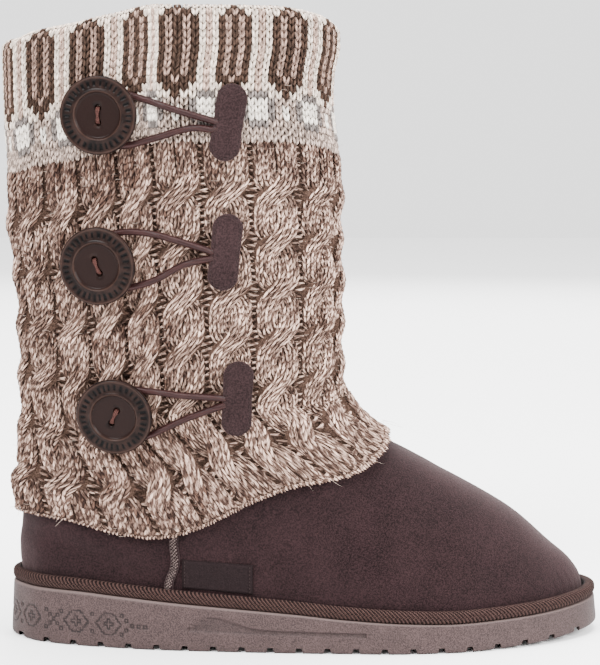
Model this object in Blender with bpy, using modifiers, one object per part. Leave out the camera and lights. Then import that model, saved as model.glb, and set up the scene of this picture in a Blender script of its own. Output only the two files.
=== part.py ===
"""A right pull-on winter boot: suede upper under a knitted sleeve with three buttoned loops, on a wedge sole.

Metres, +Z up, +X to the toe, -Y to the outer side of the foot. The boot stands on z = 0.
Distances along the boot run from the heel end of the sole. Levels run up from the feather line,
the line where the upper meets the sole, and tables hold shares of the named sizes.
"""

import functools
import math

import bmesh
import bpy
import numpy as np
from mathutils import Matrix, Vector

# Foot and shaft
SOLE_LENGTH = 0.280
BALL_WIDTH = 0.0985
TOE_INWARD = 0.007
HEEL_THICKNESS = 0.0256
BALL_THICKNESS = 0.0130
TOE_SPRING = 0.0040
INSTEP_HEIGHT = 0.100
SHAFT_HEIGHT = 0.2635
SHAFT_WIDTH = 0.092
TOE_BEND_START = 0.45
SPRING_START = 0.72
ARCH_POWER = 2.1
OVAL_POWER = 2.3
SHAFT_BLEND_START = 0.40
SHAFT_BLEND_RISE = 0.65
FLAT_LEVEL = 0.9
ROOF_TOP = 0.785
ROOF_SLOPE = 1.6
WALL = 0.0025
GAP = 0.0003

# Sole
SOLE_FLARE = 0.0013
SOLE_EDGE = 0.0016
GROOVE_PITCH = 0.0131
GROOVE_WIDTH = 0.0031
GROOVE_DEPTH = 0.0022
GROOVE_FLOOR = 0.72
GROOVE_MOUTH = 1.35
FIRST_GROOVE = 0.006
CHANNEL_DEPTH = 0.0008
CHANNEL_START = 0.086
CHANNEL_LENGTH = 0.082
CHANNEL_HEIGHT = 0.0046
CHANNEL_LOW = 0.0075
CHANNEL_TILT = 0.0015
SWELL_PLACE = 0.14
SWELL_SPREAD = 0.16
CUT_PAST = 0.004

# Tape round the upper's foot, and the footbed
TAPE_WIDTH = 0.0052
TAPE_HEIGHT = 0.0058
INSOLE_THICKNESS = 0.004
INSOLE_FIT = 0.0006

# Knitted sleeve
CABLES = 18
CABLE_BASE = 0.0026
CABLE_RELIEF = 0.0037
TWIST_PITCH = 0.0245
TWIST_LEAN = 0.8
BAND_HEIGHT = 0.060
BAND_THICKNESS = 0.0048
FOLD_OVER = 0.0045
FOLD_DEPTH = 0.026
FOLD_THICKNESS = 0.0026
SLEEVE_GAP = 0.0008
HEM_STEP = 0.0006
HOLLOW_SLACK = 0.0017
HOLLOW_START = 0.48
HOLLOW_MIDDLE = 0.75
HOLLOW_SPREAD = 0.22

# Buttons, loops and tabs
BUTTON_DIAMETER = 0.034
BUTTON_THICKNESS = 0.0042
BUTTON_DISH = 0.0210
DISH_DEPTH = 0.0012
LIP_WIDTH = 0.0008
EDGE_ROUND = 0.0010
HOLE_DIAMETER = 0.0026
HOLE_SPACING = 0.0066
THREAD_DIAMETER = 0.0014
CORD_DIAMETER = 0.0024
TAB_LENGTH = 0.0345
TAB_WIDTH = 0.0142
TAB_THICKNESS = 0.0020
TAB_ROUND = 0.0004
STRAND_SPREAD = 0.0042
STRAND_LEAD = 0.006
LOOP_REACH = 0.74

# Seams and label
SEAM_DISTANCE = 0.080
SEAM_WIDTH = 0.0042
SEAM_HEIGHT = 0.0017
SEAM_START = 0.001
LABEL_LENGTH = 0.0325
LABEL_HEIGHT = 0.0128
LABEL_THICKNESS = 0.0008

# Rows of the upper: levels as shares of INSTEP_HEIGHT on the foot and of SHAFT_HEIGHT on the shaft
FOOT_ROWS = (0.0, 0.10, 0.22, 0.36, 0.50, 0.62, 0.72, 0.82, 0.92, 1.05)
SHAFT_ROWS = (0.52, 0.66, 0.80)

# Mesh density
FOOT_COLUMNS = 46
CABLE_COLUMNS = 4
CABLE_ROWS = 14

# Sole outline: share of its length, outer and inner half-width as shares of BALL_WIDTH
OUTLINE = (
    (0.00, 0.000, 0.000),
    (0.02, 0.143, 0.143),
    (0.05, 0.232, 0.232),
    (0.11, 0.312, 0.312),
    (0.19, 0.375, 0.358),
    (0.26, 0.415, 0.368),
    (0.40, 0.457, 0.350),
    (0.49, 0.479, 0.362),
    (0.56, 0.495, 0.402),
    (0.66, 0.520, 0.465),
    (0.74, 0.511, 0.483),
    (0.83, 0.451, 0.460),
    (0.90, 0.370, 0.392),
    (0.957, 0.250, 0.262),
    (1.00, 0.000, 0.000),
)

# Sole top: share of its length, share of the way from BALL_THICKNESS to HEEL_THICKNESS
WEDGE = (
    (0.00, 1.00),
    (0.11, 0.98),
    (0.19, 0.87),
    (0.31, 0.66),
    (0.39, 0.53),
    (0.49, 0.36),
    (0.56, 0.20),
    (0.66, 0.06),
    (0.74, 0.00),
    (1.00, 0.00),
)

# Vamp ridge: share of INSTEP_HEIGHT, share of SOLE_LENGTH from the heel end
VAMP_FRONT = (
    (0.000, 0.974),
    (0.080, 0.970),
    (0.160, 0.953),
    (0.250, 0.918),
    (0.360, 0.867),
    (0.520, 0.763),
    (0.650, 0.661),
    (0.710, 0.612),
    (0.785, 0.571),
    (0.860, 0.547),
    (1.000, 0.540),
)

# Shaft front: share of the way from INSTEP_HEIGHT to SHAFT_HEIGHT, share of SOLE_LENGTH
SHAFT_FRONT = (
    (0.24, 0.5415),
    (0.38, 0.5385),
    (0.55, 0.5400),
    (0.66, 0.5350),
    (0.76, 0.5285),
    (0.84, 0.5300),
    (0.93, 0.5390),
    (1.05, 0.5390),
)

# Back of the foot: share of INSTEP_HEIGHT, inset from the heel end as a share of SOLE_LENGTH
FOOT_BACK = (
    (0.00, 0.0210),
    (0.17, 0.0182),
    (0.27, 0.0204),
    (0.41, 0.0204),
    (0.50, 0.0246),
    (0.63, 0.0330),
    (0.80, 0.0405),
    (1.00, 0.0420),
)

# Back of the shaft: share of the way up, inset as above
SHAFT_BACK = (
    (0.11, 0.0414),
    (0.23, 0.0390),
    (0.34, 0.0318),
    (0.45, 0.0262),
    (0.59, 0.0235),
    (0.70, 0.0195),
    (1.05, 0.0160),
)

# Half-width of the shaft: share of SHAFT_HEIGHT, share of SHAFT_WIDTH
SHAFT_SIDE = (
    (0.00, 0.430),
    (0.30, 0.425),
    (0.45, 0.445),
    (0.60, 0.470),
    (0.80, 0.485),
    (1.05, 0.510),
)

# Collar and hem: share of the way from back to front (turns for the collar), share of SHAFT_HEIGHT
COLLAR = (
    (0.00, 0.941),
    (0.13, 0.944),
    (0.20, 0.955),
    (0.30, 0.966),
    (0.39, 0.981),
    (0.49, 0.997),
    (0.72, 0.996),
    (0.86, 0.985),
    (0.93, 0.975),
    (0.97, 0.969),
    (1.00, 0.968),
)
HEM = (
    (0.00, 0.129),
    (0.06, 0.130),
    (0.13, 0.126),
    (0.22, 0.110),
    (0.27, 0.108),
    (0.35, 0.126),
    (0.41, 0.148),
    (0.48, 0.173),
    (0.60, 0.202),
    (0.66, 0.209),
    (0.74, 0.217),
    (0.84, 0.236),
    (0.93, 0.254),
    (0.97, 0.260),
    (1.00, 0.261),
)

# Fasteners: distance and level of the button, then of the tab, as shares of SOLE_LENGTH and SHAFT_HEIGHT,
# and the tab's lean in degrees
FASTENERS = (
    (0.1804, 0.8330, 0.3732, 0.8197, 9.0),
    (0.1786, 0.5806, 0.3679, 0.6015, 6.0),
    (0.2000, 0.3264, 0.3857, 0.3510, 2.0),
)
LABEL_DISTANCE = 0.0835
LABEL_LEVEL = 0.0068

COLOURS = {
    "suede": ((0.058, 0.035, 0.034, 1.0), 0.95),
    "sole": ((0.130, 0.098, 0.090, 1.0), 0.70),
    "tape": ((0.075, 0.048, 0.038, 1.0), 0.85),
    "knit": ((0.360, 0.265, 0.215, 1.0), 0.95),
    "button": ((0.060, 0.038, 0.034, 1.0), 0.40),
    "cord": ((0.085, 0.043, 0.041, 1.0), 0.55),
    "thread": ((0.220, 0.085, 0.055, 1.0), 0.80),
    "fleece": ((0.300, 0.215, 0.170, 1.0), 1.00),
}


def smooth_step(x):
    """0 below 0, 1 above 1, and an even rise between."""
    x = np.clip(x, 0.0, 1.0)
    return x * x * (3.0 - 2.0 * x)


def through(xs, ys, x):
    """A smooth curve through the rows of a table that never swings past them (a monotone cubic)."""
    xs, ys = np.asarray(xs, float), np.asarray(ys, float)
    step = np.diff(xs)
    slope = np.diff(ys) / step
    inner = np.zeros(len(xs))
    same = slope[:-1] * slope[1:] > 0.0
    first = 2.0 * step[1:] + step[:-1]
    second = step[1:] + 2.0 * step[:-1]
    safe = np.where(same, slope[:-1], 1.0), np.where(same, slope[1:], 1.0)
    inner[1:-1] = np.where(same, (first + second) / (first / safe[0] + second / safe[1]), 0.0)
    inner[0], inner[-1] = slope[0], slope[-1]
    x = np.clip(x, xs[0], xs[-1])
    k = np.clip(np.searchsorted(xs, x, side="right") - 1, 0, len(step) - 1)
    s = (x - xs[k]) / step[k]
    rise = step[k]
    return (
        ys[k] * (1 + 2 * s) * (1 - s) ** 2
        + inner[k] * rise * s * (1 - s) ** 2
        + ys[k + 1] * s * s * (3 - 2 * s)
        + inner[k + 1] * rise * s * s * (s - 1)
    )


def column(table, number):
    return [row[number] for row in table]


def end_angle(share):
    """Share of a length, spread out at both ends as a half circle is, so round ends read as even steps."""
    return np.arccos(1.0 - 2.0 * np.clip(share, 0.0, 1.0)) / math.pi


def levels(low_table, high_table):
    """Level and value columns of a foot table carried on by a shaft table."""
    rise = SHAFT_HEIGHT - INSTEP_HEIGHT
    level = [row[0] * INSTEP_HEIGHT for row in low_table]
    level += [INSTEP_HEIGHT + row[0] * rise for row in high_table]
    return level, [row[1] * SOLE_LENGTH for row in (*low_table, *high_table)]


def half_widths(distance):
    """Outer and inner half-width of the sole at a distance from the heel end."""
    at = end_angle(distance / SOLE_LENGTH)
    places = end_angle(np.array(column(OUTLINE, 0)))
    return [BALL_WIDTH * through(places, column(OUTLINE, k), at) for k in (1, 2)]


@functools.cache
def feather_outline():
    """The sole's outline moved in by TAPE_WIDTH: shares of its own length and half-width, outer and inner."""
    fine = SOLE_LENGTH * (1.0 - np.cos(np.linspace(0.0, math.pi, 400))) / 2.0
    found = []
    for half in half_widths(fine):
        slope = np.gradient(np.stack([fine, half], -1), axis=0)
        slope /= np.linalg.norm(slope, axis=1, keepdims=True)
        moved = np.stack([fine + TAPE_WIDTH * slope[:, 1], half - TAPE_WIDTH * slope[:, 0]], -1)
        moved[0], moved[-1] = (TAPE_WIDTH, 0.0), (SOLE_LENGTH - TAPE_WIDTH, 0.0)
        reach = (moved[:, 0] - TAPE_WIDTH) / (SOLE_LENGTH - 2.0 * TAPE_WIDTH)
        order = np.argsort(reach)
        found.append((reach[order], np.maximum(moved[order, 1], 0.0)))
    return found


def centre_line(distance):
    """Sideways place of the boot's middle, which bends inwards to the toe."""
    return TOE_INWARD * smooth_step((distance / SOLE_LENGTH - TOE_BEND_START) / (1.0 - TOE_BEND_START))


def sole_bottom(distance):
    """Height of the tread, flat to the ball and lifted at the toe."""
    return TOE_SPRING * np.clip((distance / SOLE_LENGTH - SPRING_START) / (1.0 - SPRING_START), 0.0, 1.0) ** 2


def sole_top(distance):
    """Height of the sole's top: a wedge from the heel to the ball."""
    share = through(column(WEDGE, 0), column(WEDGE, 1), distance / SOLE_LENGTH)
    wedge = BALL_THICKNESS + (HEEL_THICKNESS - BALL_THICKNESS) * share
    return wedge + sole_bottom(distance)


def front_edge(level):
    return through(*levels(VAMP_FRONT, SHAFT_FRONT), level)


def back_edge(level):
    return through(*levels(FOOT_BACK, SHAFT_BACK), level)


@functools.cache
def vamp_ridge():
    """Front edge of the foot at close levels up to ROOF_TOP, as pairs of distance, falling, and level."""
    steps = np.linspace(0.0, ROOF_TOP * INSTEP_HEIGHT, 4000)
    return front_edge(steps), steps


def ridge_level(distance):
    """Level of the vamp's ridge over a distance: the front edge read the other way, and a slope behind it."""
    front, level = vamp_ridge()
    behind = np.maximum(front[-1] - distance, 0.0)
    return np.interp(-distance, -front, level, left=0.0) + ROOF_SLOPE * behind


def body(turn, level):
    """Outer face of the upper. turn runs 0 to 1 over the outer side, back to front, and 1 to 2 over the inner
    side, front to back. Sections of the foot are arches cut level, those of the shaft are superellipses."""
    turn = np.mod(turn, 2.0)
    outer = turn <= 1.0
    share = np.where(outer, turn, 2.0 - turn)
    back, front = back_edge(level), front_edge(level)
    distance = back + (front - back) * (1.0 - np.cos(math.pi * share)) / 2.0
    reach = (distance - back) / (front_edge(0.0) - back_edge(0.0))
    sides = [np.interp(reach, *side) for side in feather_outline()]
    base = np.where(outer, *sides)
    roof = np.clip(level / np.maximum(ridge_level(distance), 1e-6), 0.0, 1.0)
    arch = base * (1.0 - roof**ARCH_POWER) ** (1.0 / ARCH_POWER)
    across = np.abs(2.0 * (distance - back) / (front - back) - 1.0)
    oval = (1.0 - np.minimum(across, 1.0) ** OVAL_POWER) ** (1.0 / OVAL_POWER)
    width = SHAFT_WIDTH * through(column(SHAFT_SIDE, 0), column(SHAFT_SIDE, 1), level / SHAFT_HEIGHT)
    shaft = smooth_step((level / INSTEP_HEIGHT - SHAFT_BLEND_START) / SHAFT_BLEND_RISE)
    half = arch * (1.0 - shaft) + width * oval * shaft
    y = centre_line(distance) * (1.0 - shaft) + np.where(outer, -half, half)
    return np.stack([distance, y, height_of(distance, level)], -1)


def height_of(distance, level):
    """Height above the floor: level sections follow the sole's wedge at its top and flatten out going up."""
    flatten = smooth_step(level / (FLAT_LEVEL * INSTEP_HEIGHT))
    heel = sole_top(0.0)
    return GAP + level + heel + (sole_top(distance) - heel) * (1.0 - flatten)


def body_normal(turn, level):
    """Outward direction of the upper's outer face, from its slopes round and up."""
    step_round, step_up = 5e-3, 2e-4
    low = np.maximum(level - step_up, 0.0)
    around = body(turn + step_round, level) - body(turn - step_round, level)
    upward = body(turn, low + 2.0 * step_up) - body(turn, low)
    normal = np.cross(around, upward)
    return normal / np.linalg.norm(normal, axis=-1, keepdims=True)


def on_body(turn, level, offset):
    """Points that stand off the upper's outer face by an offset, inwards where it is negative."""
    return body(turn, level) + body_normal(turn, level) * np.asarray(offset)[..., None]


def turn_at(distance, level, outer=True):
    """The turn at which a level section reaches a distance from the heel end."""
    back, front = back_edge(level), front_edge(level)
    share = end_angle((distance - back) / (front - back))
    return share if outer else 2.0 - share


def foot_turns():
    """Turns of the columns that the sole, the tape, the insole and the upper share."""
    return np.linspace(0.0, 2.0, FOOT_COLUMNS, endpoint=False)


def even_turns(count, level):
    """Turns of so many points spaced evenly along each side of a level section, from the back round."""
    fine = np.linspace(0.0, 2.0, 801)
    points = body(fine, np.full_like(fine, level))
    length = np.concatenate([[0.0], np.cumsum(np.linalg.norm(np.diff(points, axis=0), axis=1))])
    front = length[len(fine) // 2]
    wanted = np.linspace(0.0, 2.0, count, endpoint=False)
    along = np.where(wanted < 1.0, wanted * front, front + (wanted - 1.0) * (length[-1] - front))
    return np.interp(along, length, fine)


def sleeve_turns(level):
    """Turns of the sleeve's columns at the levels that they have, evenly spaced along the section at each."""
    steps = table_steps()
    rows = even_rows(len(level))
    return np.array([np.interp(at, steps, rows[:, k]) for k, at in enumerate(level)])


def table_steps():
    """Levels at which even_rows() works out its turns."""
    return np.linspace(0.0, 1.1 * SHAFT_HEIGHT, 40)


@functools.cache
def even_rows(count):
    """Evenly spaced turns of so many columns, one row for each of the table's levels."""
    return np.stack([even_turns(count, level) for level in table_steps()])


def sleeve_ring(level, offset):
    """A ring of the sleeve's columns at given levels, off the upper by an offset and by the slack."""
    turn = sleeve_turns(level)
    return on_body(turn, level, offset + hollow_slack(turn, level))


def hollow_slack(turn, level):
    """How far the stretched sleeve stands clear of the upper where it bridges the hollow of the instep."""
    high = np.exp(-(((level / INSTEP_HEIGHT - HOLLOW_MIDDLE) / HOLLOW_SPREAD) ** 2))
    return HOLLOW_SLACK * high * smooth_step((one_side(turn) - HOLLOW_START) / 0.25)


def way_round(count):
    """Share of the way from back to front of each of so many evenly spaced columns."""
    wanted = np.linspace(0.0, 2.0, count, endpoint=False)
    return np.where(wanted <= 1.0, wanted, 2.0 - wanted)


def centred(points):
    """Moves the boot so that the origin is under the middle of its box."""
    return np.asarray(points, float) - np.array([ORIGIN_DISTANCE, ORIGIN_SIDE, 0.0])


def material(name):
    colour, roughness = COLOURS[name]
    made = bpy.data.materials.get(name) or bpy.data.materials.new(name)
    made.use_nodes = True
    shader = made.node_tree.nodes["Principled BSDF"]
    shader.inputs["Base Color"].default_value = colour
    shader.inputs["Roughness"].default_value = roughness
    made.diffuse_color = colour
    return made


def add_object(name, data, finish, home="Boot"):
    made = bpy.data.objects.new(name, data)
    bpy.data.collections[home].objects.link(made)
    if finish:
        data.materials.append(material(finish))
    return made


def add_mesh(name, points, faces, finish, home="Boot"):
    """A mesh of points in the boot's own frame, with its faces turned outwards and its round sides smooth."""
    mesh = bpy.data.meshes.new(name)
    mesh.from_pydata([tuple(p) for p in centred(points)], [], faces)
    work = bmesh.new()
    work.from_mesh(mesh)
    bmesh.ops.recalc_face_normals(work, faces=work.faces)
    work.to_mesh(mesh)
    work.free()
    mesh.shade_smooth()
    mesh.set_sharp_from_angle(angle=math.radians(40.0))
    return add_object(name, mesh, finish, home)


def ring_faces(rings, count, wraps):
    """Four-sided faces between neighbouring rings, and from the last ring to the first where it wraps."""
    faces = []
    for r in range(rings if wraps else rings - 1):
        low, high = r * count, (r + 1) % rings * count
        faces += [
            (low + k, low + (k + 1) % count, high + (k + 1) % count, high + k)
            for k in range(count)
        ]
    return faces


def ladder_faces(first, count):
    """A lid for a ring that runs up one side and down the other: rungs between points at one distance."""
    half = count // 2
    faces = [(first, first + 1, first + count - 1)]
    faces += [
        (first + k, first + k + 1, first + count - k - 1, first + count - k)
        for k in range(1, half - 1)
    ]
    return faces + [(first + half - 1, first + half, first + half + 1)]


def loft(name, rings, finish, wraps=False, home="Boot"):
    """A solid through rings of points: a closed wall where it wraps, or a body with laddered lids."""
    rings = np.asarray(rings)
    count = rings.shape[1]
    faces = ring_faces(len(rings), count, wraps)
    if not wraps:
        faces += ladder_faces(0, count) + ladder_faces((len(rings) - 1) * count, count)
    return add_mesh(name, rings.reshape(-1, 3), faces, finish, home)


def cut(piece, cutter):
    """Takes a cutter out of a piece, and keeps the cutter out of the build."""
    cutter.hide_render = True
    cutter.display_type = "WIRE"
    boolean = piece.modifiers.new("cut " + cutter.name, "BOOLEAN")
    boolean.operation = "DIFFERENCE"
    boolean.object = cutter


def sole_ring(outset, height):
    """The sole's outline moved outwards, at heights given by a function of the distance."""
    turn = foot_turns()
    outer = turn <= 1.0
    along = np.where(outer, turn, 2.0 - turn)
    distance = SOLE_LENGTH * (1.0 - np.cos(math.pi * along)) / 2.0
    sides = half_widths(distance)
    y = centre_line(distance) + np.where(outer, -sides[0], sides[1])
    points = np.stack([distance, y], -1)
    edge = np.roll(points, -1, 0) - np.roll(points, 1, 0)
    normal = np.stack([edge[:, 1], -edge[:, 0]], -1)
    normal /= np.linalg.norm(normal, axis=1, keepdims=True)
    points = points + normal * outset
    return np.column_stack([points, height(distance)])


def make_outsole():
    """Wedge sole with a flared foot, cross grooves open at the side, and a sunk channel each side."""
    rings = [
        sole_ring(-SOLE_EDGE, sole_bottom),
        sole_ring(-0.2 * SOLE_EDGE, lambda d: sole_bottom(d) + 0.45 * SOLE_EDGE),
        sole_ring(0.0, lambda d: sole_bottom(d) + 1.3 * SOLE_EDGE),
        sole_ring(-SOLE_FLARE, sole_top),
    ]
    sole = loft("outsole", rings, "sole")
    cut(sole, groove_cutter())
    for outer in (True, False):
        cut(sole, channel_cutter(outer))


def groove_cutter():
    """Cross grooves, a little narrower at their floor, as one mesh of wedge-shaped bars."""
    work = bmesh.new()
    place = FIRST_GROOVE
    while place < SOLE_LENGTH - GROOVE_WIDTH:
        bar = bmesh.ops.create_cube(work, size=1.0)["verts"]
        floor = float(sole_bottom(place)) + GROOVE_DEPTH
        for corner in bar:
            top = corner.co.z > 0.0
            width = GROOVE_WIDTH * (GROOVE_FLOOR if top else GROOVE_MOUTH)
            corner.co.x = place - ORIGIN_DISTANCE + corner.co.x * width
            corner.co.y *= 2.0 * BALL_WIDTH
            corner.co.z = floor if top else -GROOVE_DEPTH
        place += GROOVE_PITCH
    mesh = bpy.data.meshes.new("grooves")
    work.to_mesh(mesh)
    work.free()
    return add_object("grooves", mesh, None, "Cutters")


def channel_cutter(outer):
    """The sunk channel: a bar that follows the sole's side, high at its heel end, tapering to the toe."""
    stations = 10
    share = np.linspace(0.0, 1.0, stations)
    distance = CHANNEL_START + CHANNEL_LENGTH * share
    side = half_widths(distance)[0 if outer else 1]
    sign = -1.0 if outer else 1.0
    bump = np.exp(-(((share - SWELL_PLACE) / SWELL_SPREAD) ** 2)) * smooth_step(share / 0.1)
    swell = CHANNEL_HEIGHT * (0.5 + 1.1 * bump)
    low = CHANNEL_LOW + CHANNEL_TILT * (1.0 - share)
    rings = []
    for depth, height in ((CHANNEL_DEPTH, 0), (CHANNEL_DEPTH, 1), (-CUT_PAST, 1), (-CUT_PAST, 0)):
        y = centre_line(distance) + sign * (side - SOLE_FLARE * 0.5 - depth)
        rings.append(np.column_stack([distance, y, low + height * swell]))
    rings = np.stack(rings, 1)
    faces = ring_faces(stations, 4, False) + [(0, 1, 2, 3), tuple(4 * stations - 4 + k for k in range(4))]
    name = "channel_outer" if outer else "channel_inner"
    return add_mesh(name, rings.reshape(-1, 3), faces, None, "Cutters")


def make_tape():
    """Folded tape round the foot of the upper: its back follows the upper and its face the sole's edge."""
    section = (
        (1.00, 0.02),
        (1.05, 0.42),
        (0.84, 0.84),
        (0.45, 1.00),
        (0.00, 0.55),
        (0.00, 0.02),
    )
    turn = foot_turns()
    edge = sole_ring(-SOLE_FLARE, sole_top)
    rings = []
    for out, up in section:
        level = np.full_like(turn, up * TAPE_HEIGHT)
        ring = on_body(turn, level, np.full_like(turn, GAP))
        ring[:, :2] += out * (edge[:, :2] - ring[:, :2])
        ring[:, 2] = sole_top(ring[:, 0]) + GAP + level
        rings.append(ring)
    loft("foxing_tape", rings, "tape", wraps=True)


def make_insole():
    """Footbed inside the upper, on the sole, with a rounded edge."""
    turn = foot_turns()
    rings = []
    for up, back_off in ((0.0, 0.0), (0.7, 0.0), (1.0, 0.3)):
        level = np.full_like(turn, up * INSOLE_THICKNESS)
        inset = WALL + INSOLE_FIT + back_off * INSOLE_THICKNESS
        ring = on_body(turn, level, np.full_like(turn, -inset))
        ring[:, 2] = sole_top(ring[:, 0]) + GAP + level
        rings.append(ring)
    loft("insole", rings, "fleece")


def one_side(turn):
    """The turn counted from the back on either side."""
    return np.minimum(turn, 2.0 - turn)


def collar_level(turn):
    """Level of the upper's own collar, which the sleeve folds over."""
    return SHAFT_HEIGHT * through(column(COLLAR, 0), column(COLLAR, 1), one_side(turn))


def hem_level(way):
    """Level of the sleeve's lower edge."""
    return SHAFT_HEIGHT * through(column(HEM, 0), column(HEM, 1), way)


def hem_over(distance, outer):
    """Level of the sleeve's lower edge over a distance from the heel end, on one side."""
    count = CABLES * CABLE_COLUMNS
    hem = hem_level(way_round(count))
    turn = sleeve_turns(hem)
    side = (turn <= 1.0) if outer else (turn >= 1.0)
    along, level = body(turn, hem)[side, 0], hem[side]
    order = np.argsort(along)
    return float(np.interp(distance, along[order], level[order]))


def upper_levels(turn):
    """Levels of the upper's rows, close together at the feather line and at the bend of the instep."""
    levels_up = [share * INSTEP_HEIGHT for share in FOOT_ROWS]
    levels_up += [share * SHAFT_HEIGHT for share in SHAFT_ROWS]
    return [np.full_like(turn, level) for level in levels_up] + [collar_level(turn)]


def make_upper():
    """Suede upper: one wall from the feather line to the collar, open at the collar and underneath."""
    turn = foot_turns()
    rows = upper_levels(turn)
    outside = [on_body(turn, level, np.zeros_like(turn)) for level in rows]
    inside = [on_body(turn, level, np.full_like(turn, -WALL)) for level in reversed(rows)]
    inside[0][:, 2] = outside[-1][:, 2]
    inside[-1][:, 2] = sole_top(inside[-1][:, 0]) + GAP
    loft("upper", outside + inside, "suede", wraps=True)


def cable_relief(share, up):
    """How far a cable stands out. share runs -0.5 to 0.5 across it, up is the height in twists."""
    rib = np.clip(1.0 - (2.0 * np.abs(share)) ** 2.2, 0.0, 1.0)
    return CABLE_RELIEF * rib * (0.76 + 0.24 * np.cos(2.0 * math.pi * (up - TWIST_LEAN * share)))


def make_sleeve():
    """Knitted sleeve: cables that stand out of one wall, a plainer band, a top folded in over the collar."""
    count = CABLES * CABLE_COLUMNS
    place = np.arange(count) % CABLE_COLUMNS / CABLE_COLUMNS
    share = np.where(place > 0.5, place - 1.0, place)
    hem = hem_level(way_round(count))
    collar = collar_level(sleeve_turns(np.full(count, SHAFT_HEIGHT)))
    rim = collar + FOLD_OVER
    band = rim - BAND_HEIGHT
    rings = []
    for up in np.linspace(0.0, 1.0, CABLE_ROWS):
        level = hem + (band - hem) * up
        fade = smooth_step((band - level) / (0.4 * TWIST_PITCH))
        rib = cable_relief(share, (band - level) / TWIST_PITCH) * fade
        wall = CABLE_BASE + rib + (BAND_THICKNESS - CABLE_BASE) * (1.0 - fade)
        rings.append(sleeve_ring(level, SLEEVE_GAP + wall))
    top = SLEEVE_GAP + BAND_THICKNESS
    back_face = -WALL - SLEEVE_GAP
    fold = back_face - FOLD_THICKNESS
    rings.append(sleeve_ring(band + 0.5 * BAND_HEIGHT, top))
    rings.append(sleeve_ring(band + 0.94 * BAND_HEIGHT, top))
    rings.append(sleeve_ring(rim, 0.5 * (top + fold)))
    rings.append(sleeve_ring(rim - 0.06 * BAND_HEIGHT, fold))
    rings.append(sleeve_ring(collar - FOLD_DEPTH, fold))
    rings.append(sleeve_ring(collar - FOLD_DEPTH, back_face))
    for offset in (back_face, SLEEVE_GAP):
        ring = sleeve_ring(collar, offset)
        ring[:, 2] = height_of(ring[:, 0], collar) + GAP
        rings.append(ring)
    low = hem
    inside = [sleeve_ring(hem, SLEEVE_GAP)]
    for level in upper_levels(share)[:-1]:
        if level[0] > hem.min():
            low = np.maximum(level, low + HEM_STEP)
            inside.append(sleeve_ring(low, SLEEVE_GAP))
    rings += reversed(inside)
    loft("knit_sleeve", rings, "knit", wraps=True)


def make_seam(name, outer):
    """Raised seam between vamp and back quarter: a round rib on the upper, from the tape to the hem."""
    top = hem_over(SEAM_DISTANCE, outer) - 2 * GAP
    across = np.linspace(-1.0, 1.0, 5)
    rings = []
    for level in np.linspace(TAPE_HEIGHT + SEAM_START, top, 5):
        distance = SEAM_DISTANCE + across * SEAM_WIDTH / 2.0
        turn = turn_at(distance, level, outer)
        crown = 2 * GAP + SEAM_HEIGHT * np.sqrt(np.clip(1.0 - across**2, 0.0, 1.0))
        face = on_body(turn, np.full(5, level), crown)
        foot = on_body(turn[::-1], np.full(5, level), np.full(5, GAP))
        rings.append(np.concatenate([face, foot]))
    rings = np.stack(rings)
    count = rings.shape[1]
    last = (len(rings) - 1) * count
    faces = ring_faces(len(rings), count, False)
    faces += [tuple(range(count)), tuple(last + k for k in range(count))]
    add_mesh(name, rings.reshape(-1, 3), faces, "suede")


def make_label():
    """Blank woven label on the outer side of the vamp, in front of the seam."""
    rings = []
    for k in range(9):
        distance = LABEL_DISTANCE + LABEL_LENGTH * k / 8.0
        level = LABEL_LEVEL + np.array([0.0, 0.5, 1.0, 1.0, 0.5, 0.0]) * LABEL_HEIGHT
        stand = GAP + np.array([1.0, 1.0, 1.0, 0.0, 0.0, 0.0]) * LABEL_THICKNESS
        rings.append(on_body(turn_at(np.full(6, distance), level), level, stand))
    rings = np.stack(rings)
    last = (len(rings) - 1) * 6
    faces = ring_faces(len(rings), 6, False) + [tuple(range(6)), tuple(last + k for k in range(6))]
    add_mesh("side_label", rings.reshape(-1, 3), faces, "suede")


def sleeve_stand(turn, level):
    """How far the sleeve's cables, or its band higher up, stand off the upper."""
    band = collar_level(turn) + FOLD_OVER - BAND_HEIGHT
    cable = smooth_step((band - level) / (0.4 * TWIST_PITCH))
    wall = BAND_THICKNESS + (CABLE_BASE + CABLE_RELIEF - BAND_THICKNESS) * cable
    return SLEEVE_GAP + hollow_slack(turn, level) + wall


def seat(distance, level, lift):
    """Frame of a flat piece on the outer side: x to the toe, y up, z outwards, lifted off the sleeve."""
    turn, level = np.array([turn_at(distance, level)]), np.array([level])
    origin = on_body(turn, level, sleeve_stand(turn, level) + lift)[0]
    out = Vector(body_normal(turn, level)[0])
    toe = Vector((0.0, 0.0, 1.0)).cross(out).normalized()
    up = out.cross(toe)
    frame = Matrix((toe, up, out)).transposed().to_4x4()
    frame.translation = Vector(centred(origin))
    return frame


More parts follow.
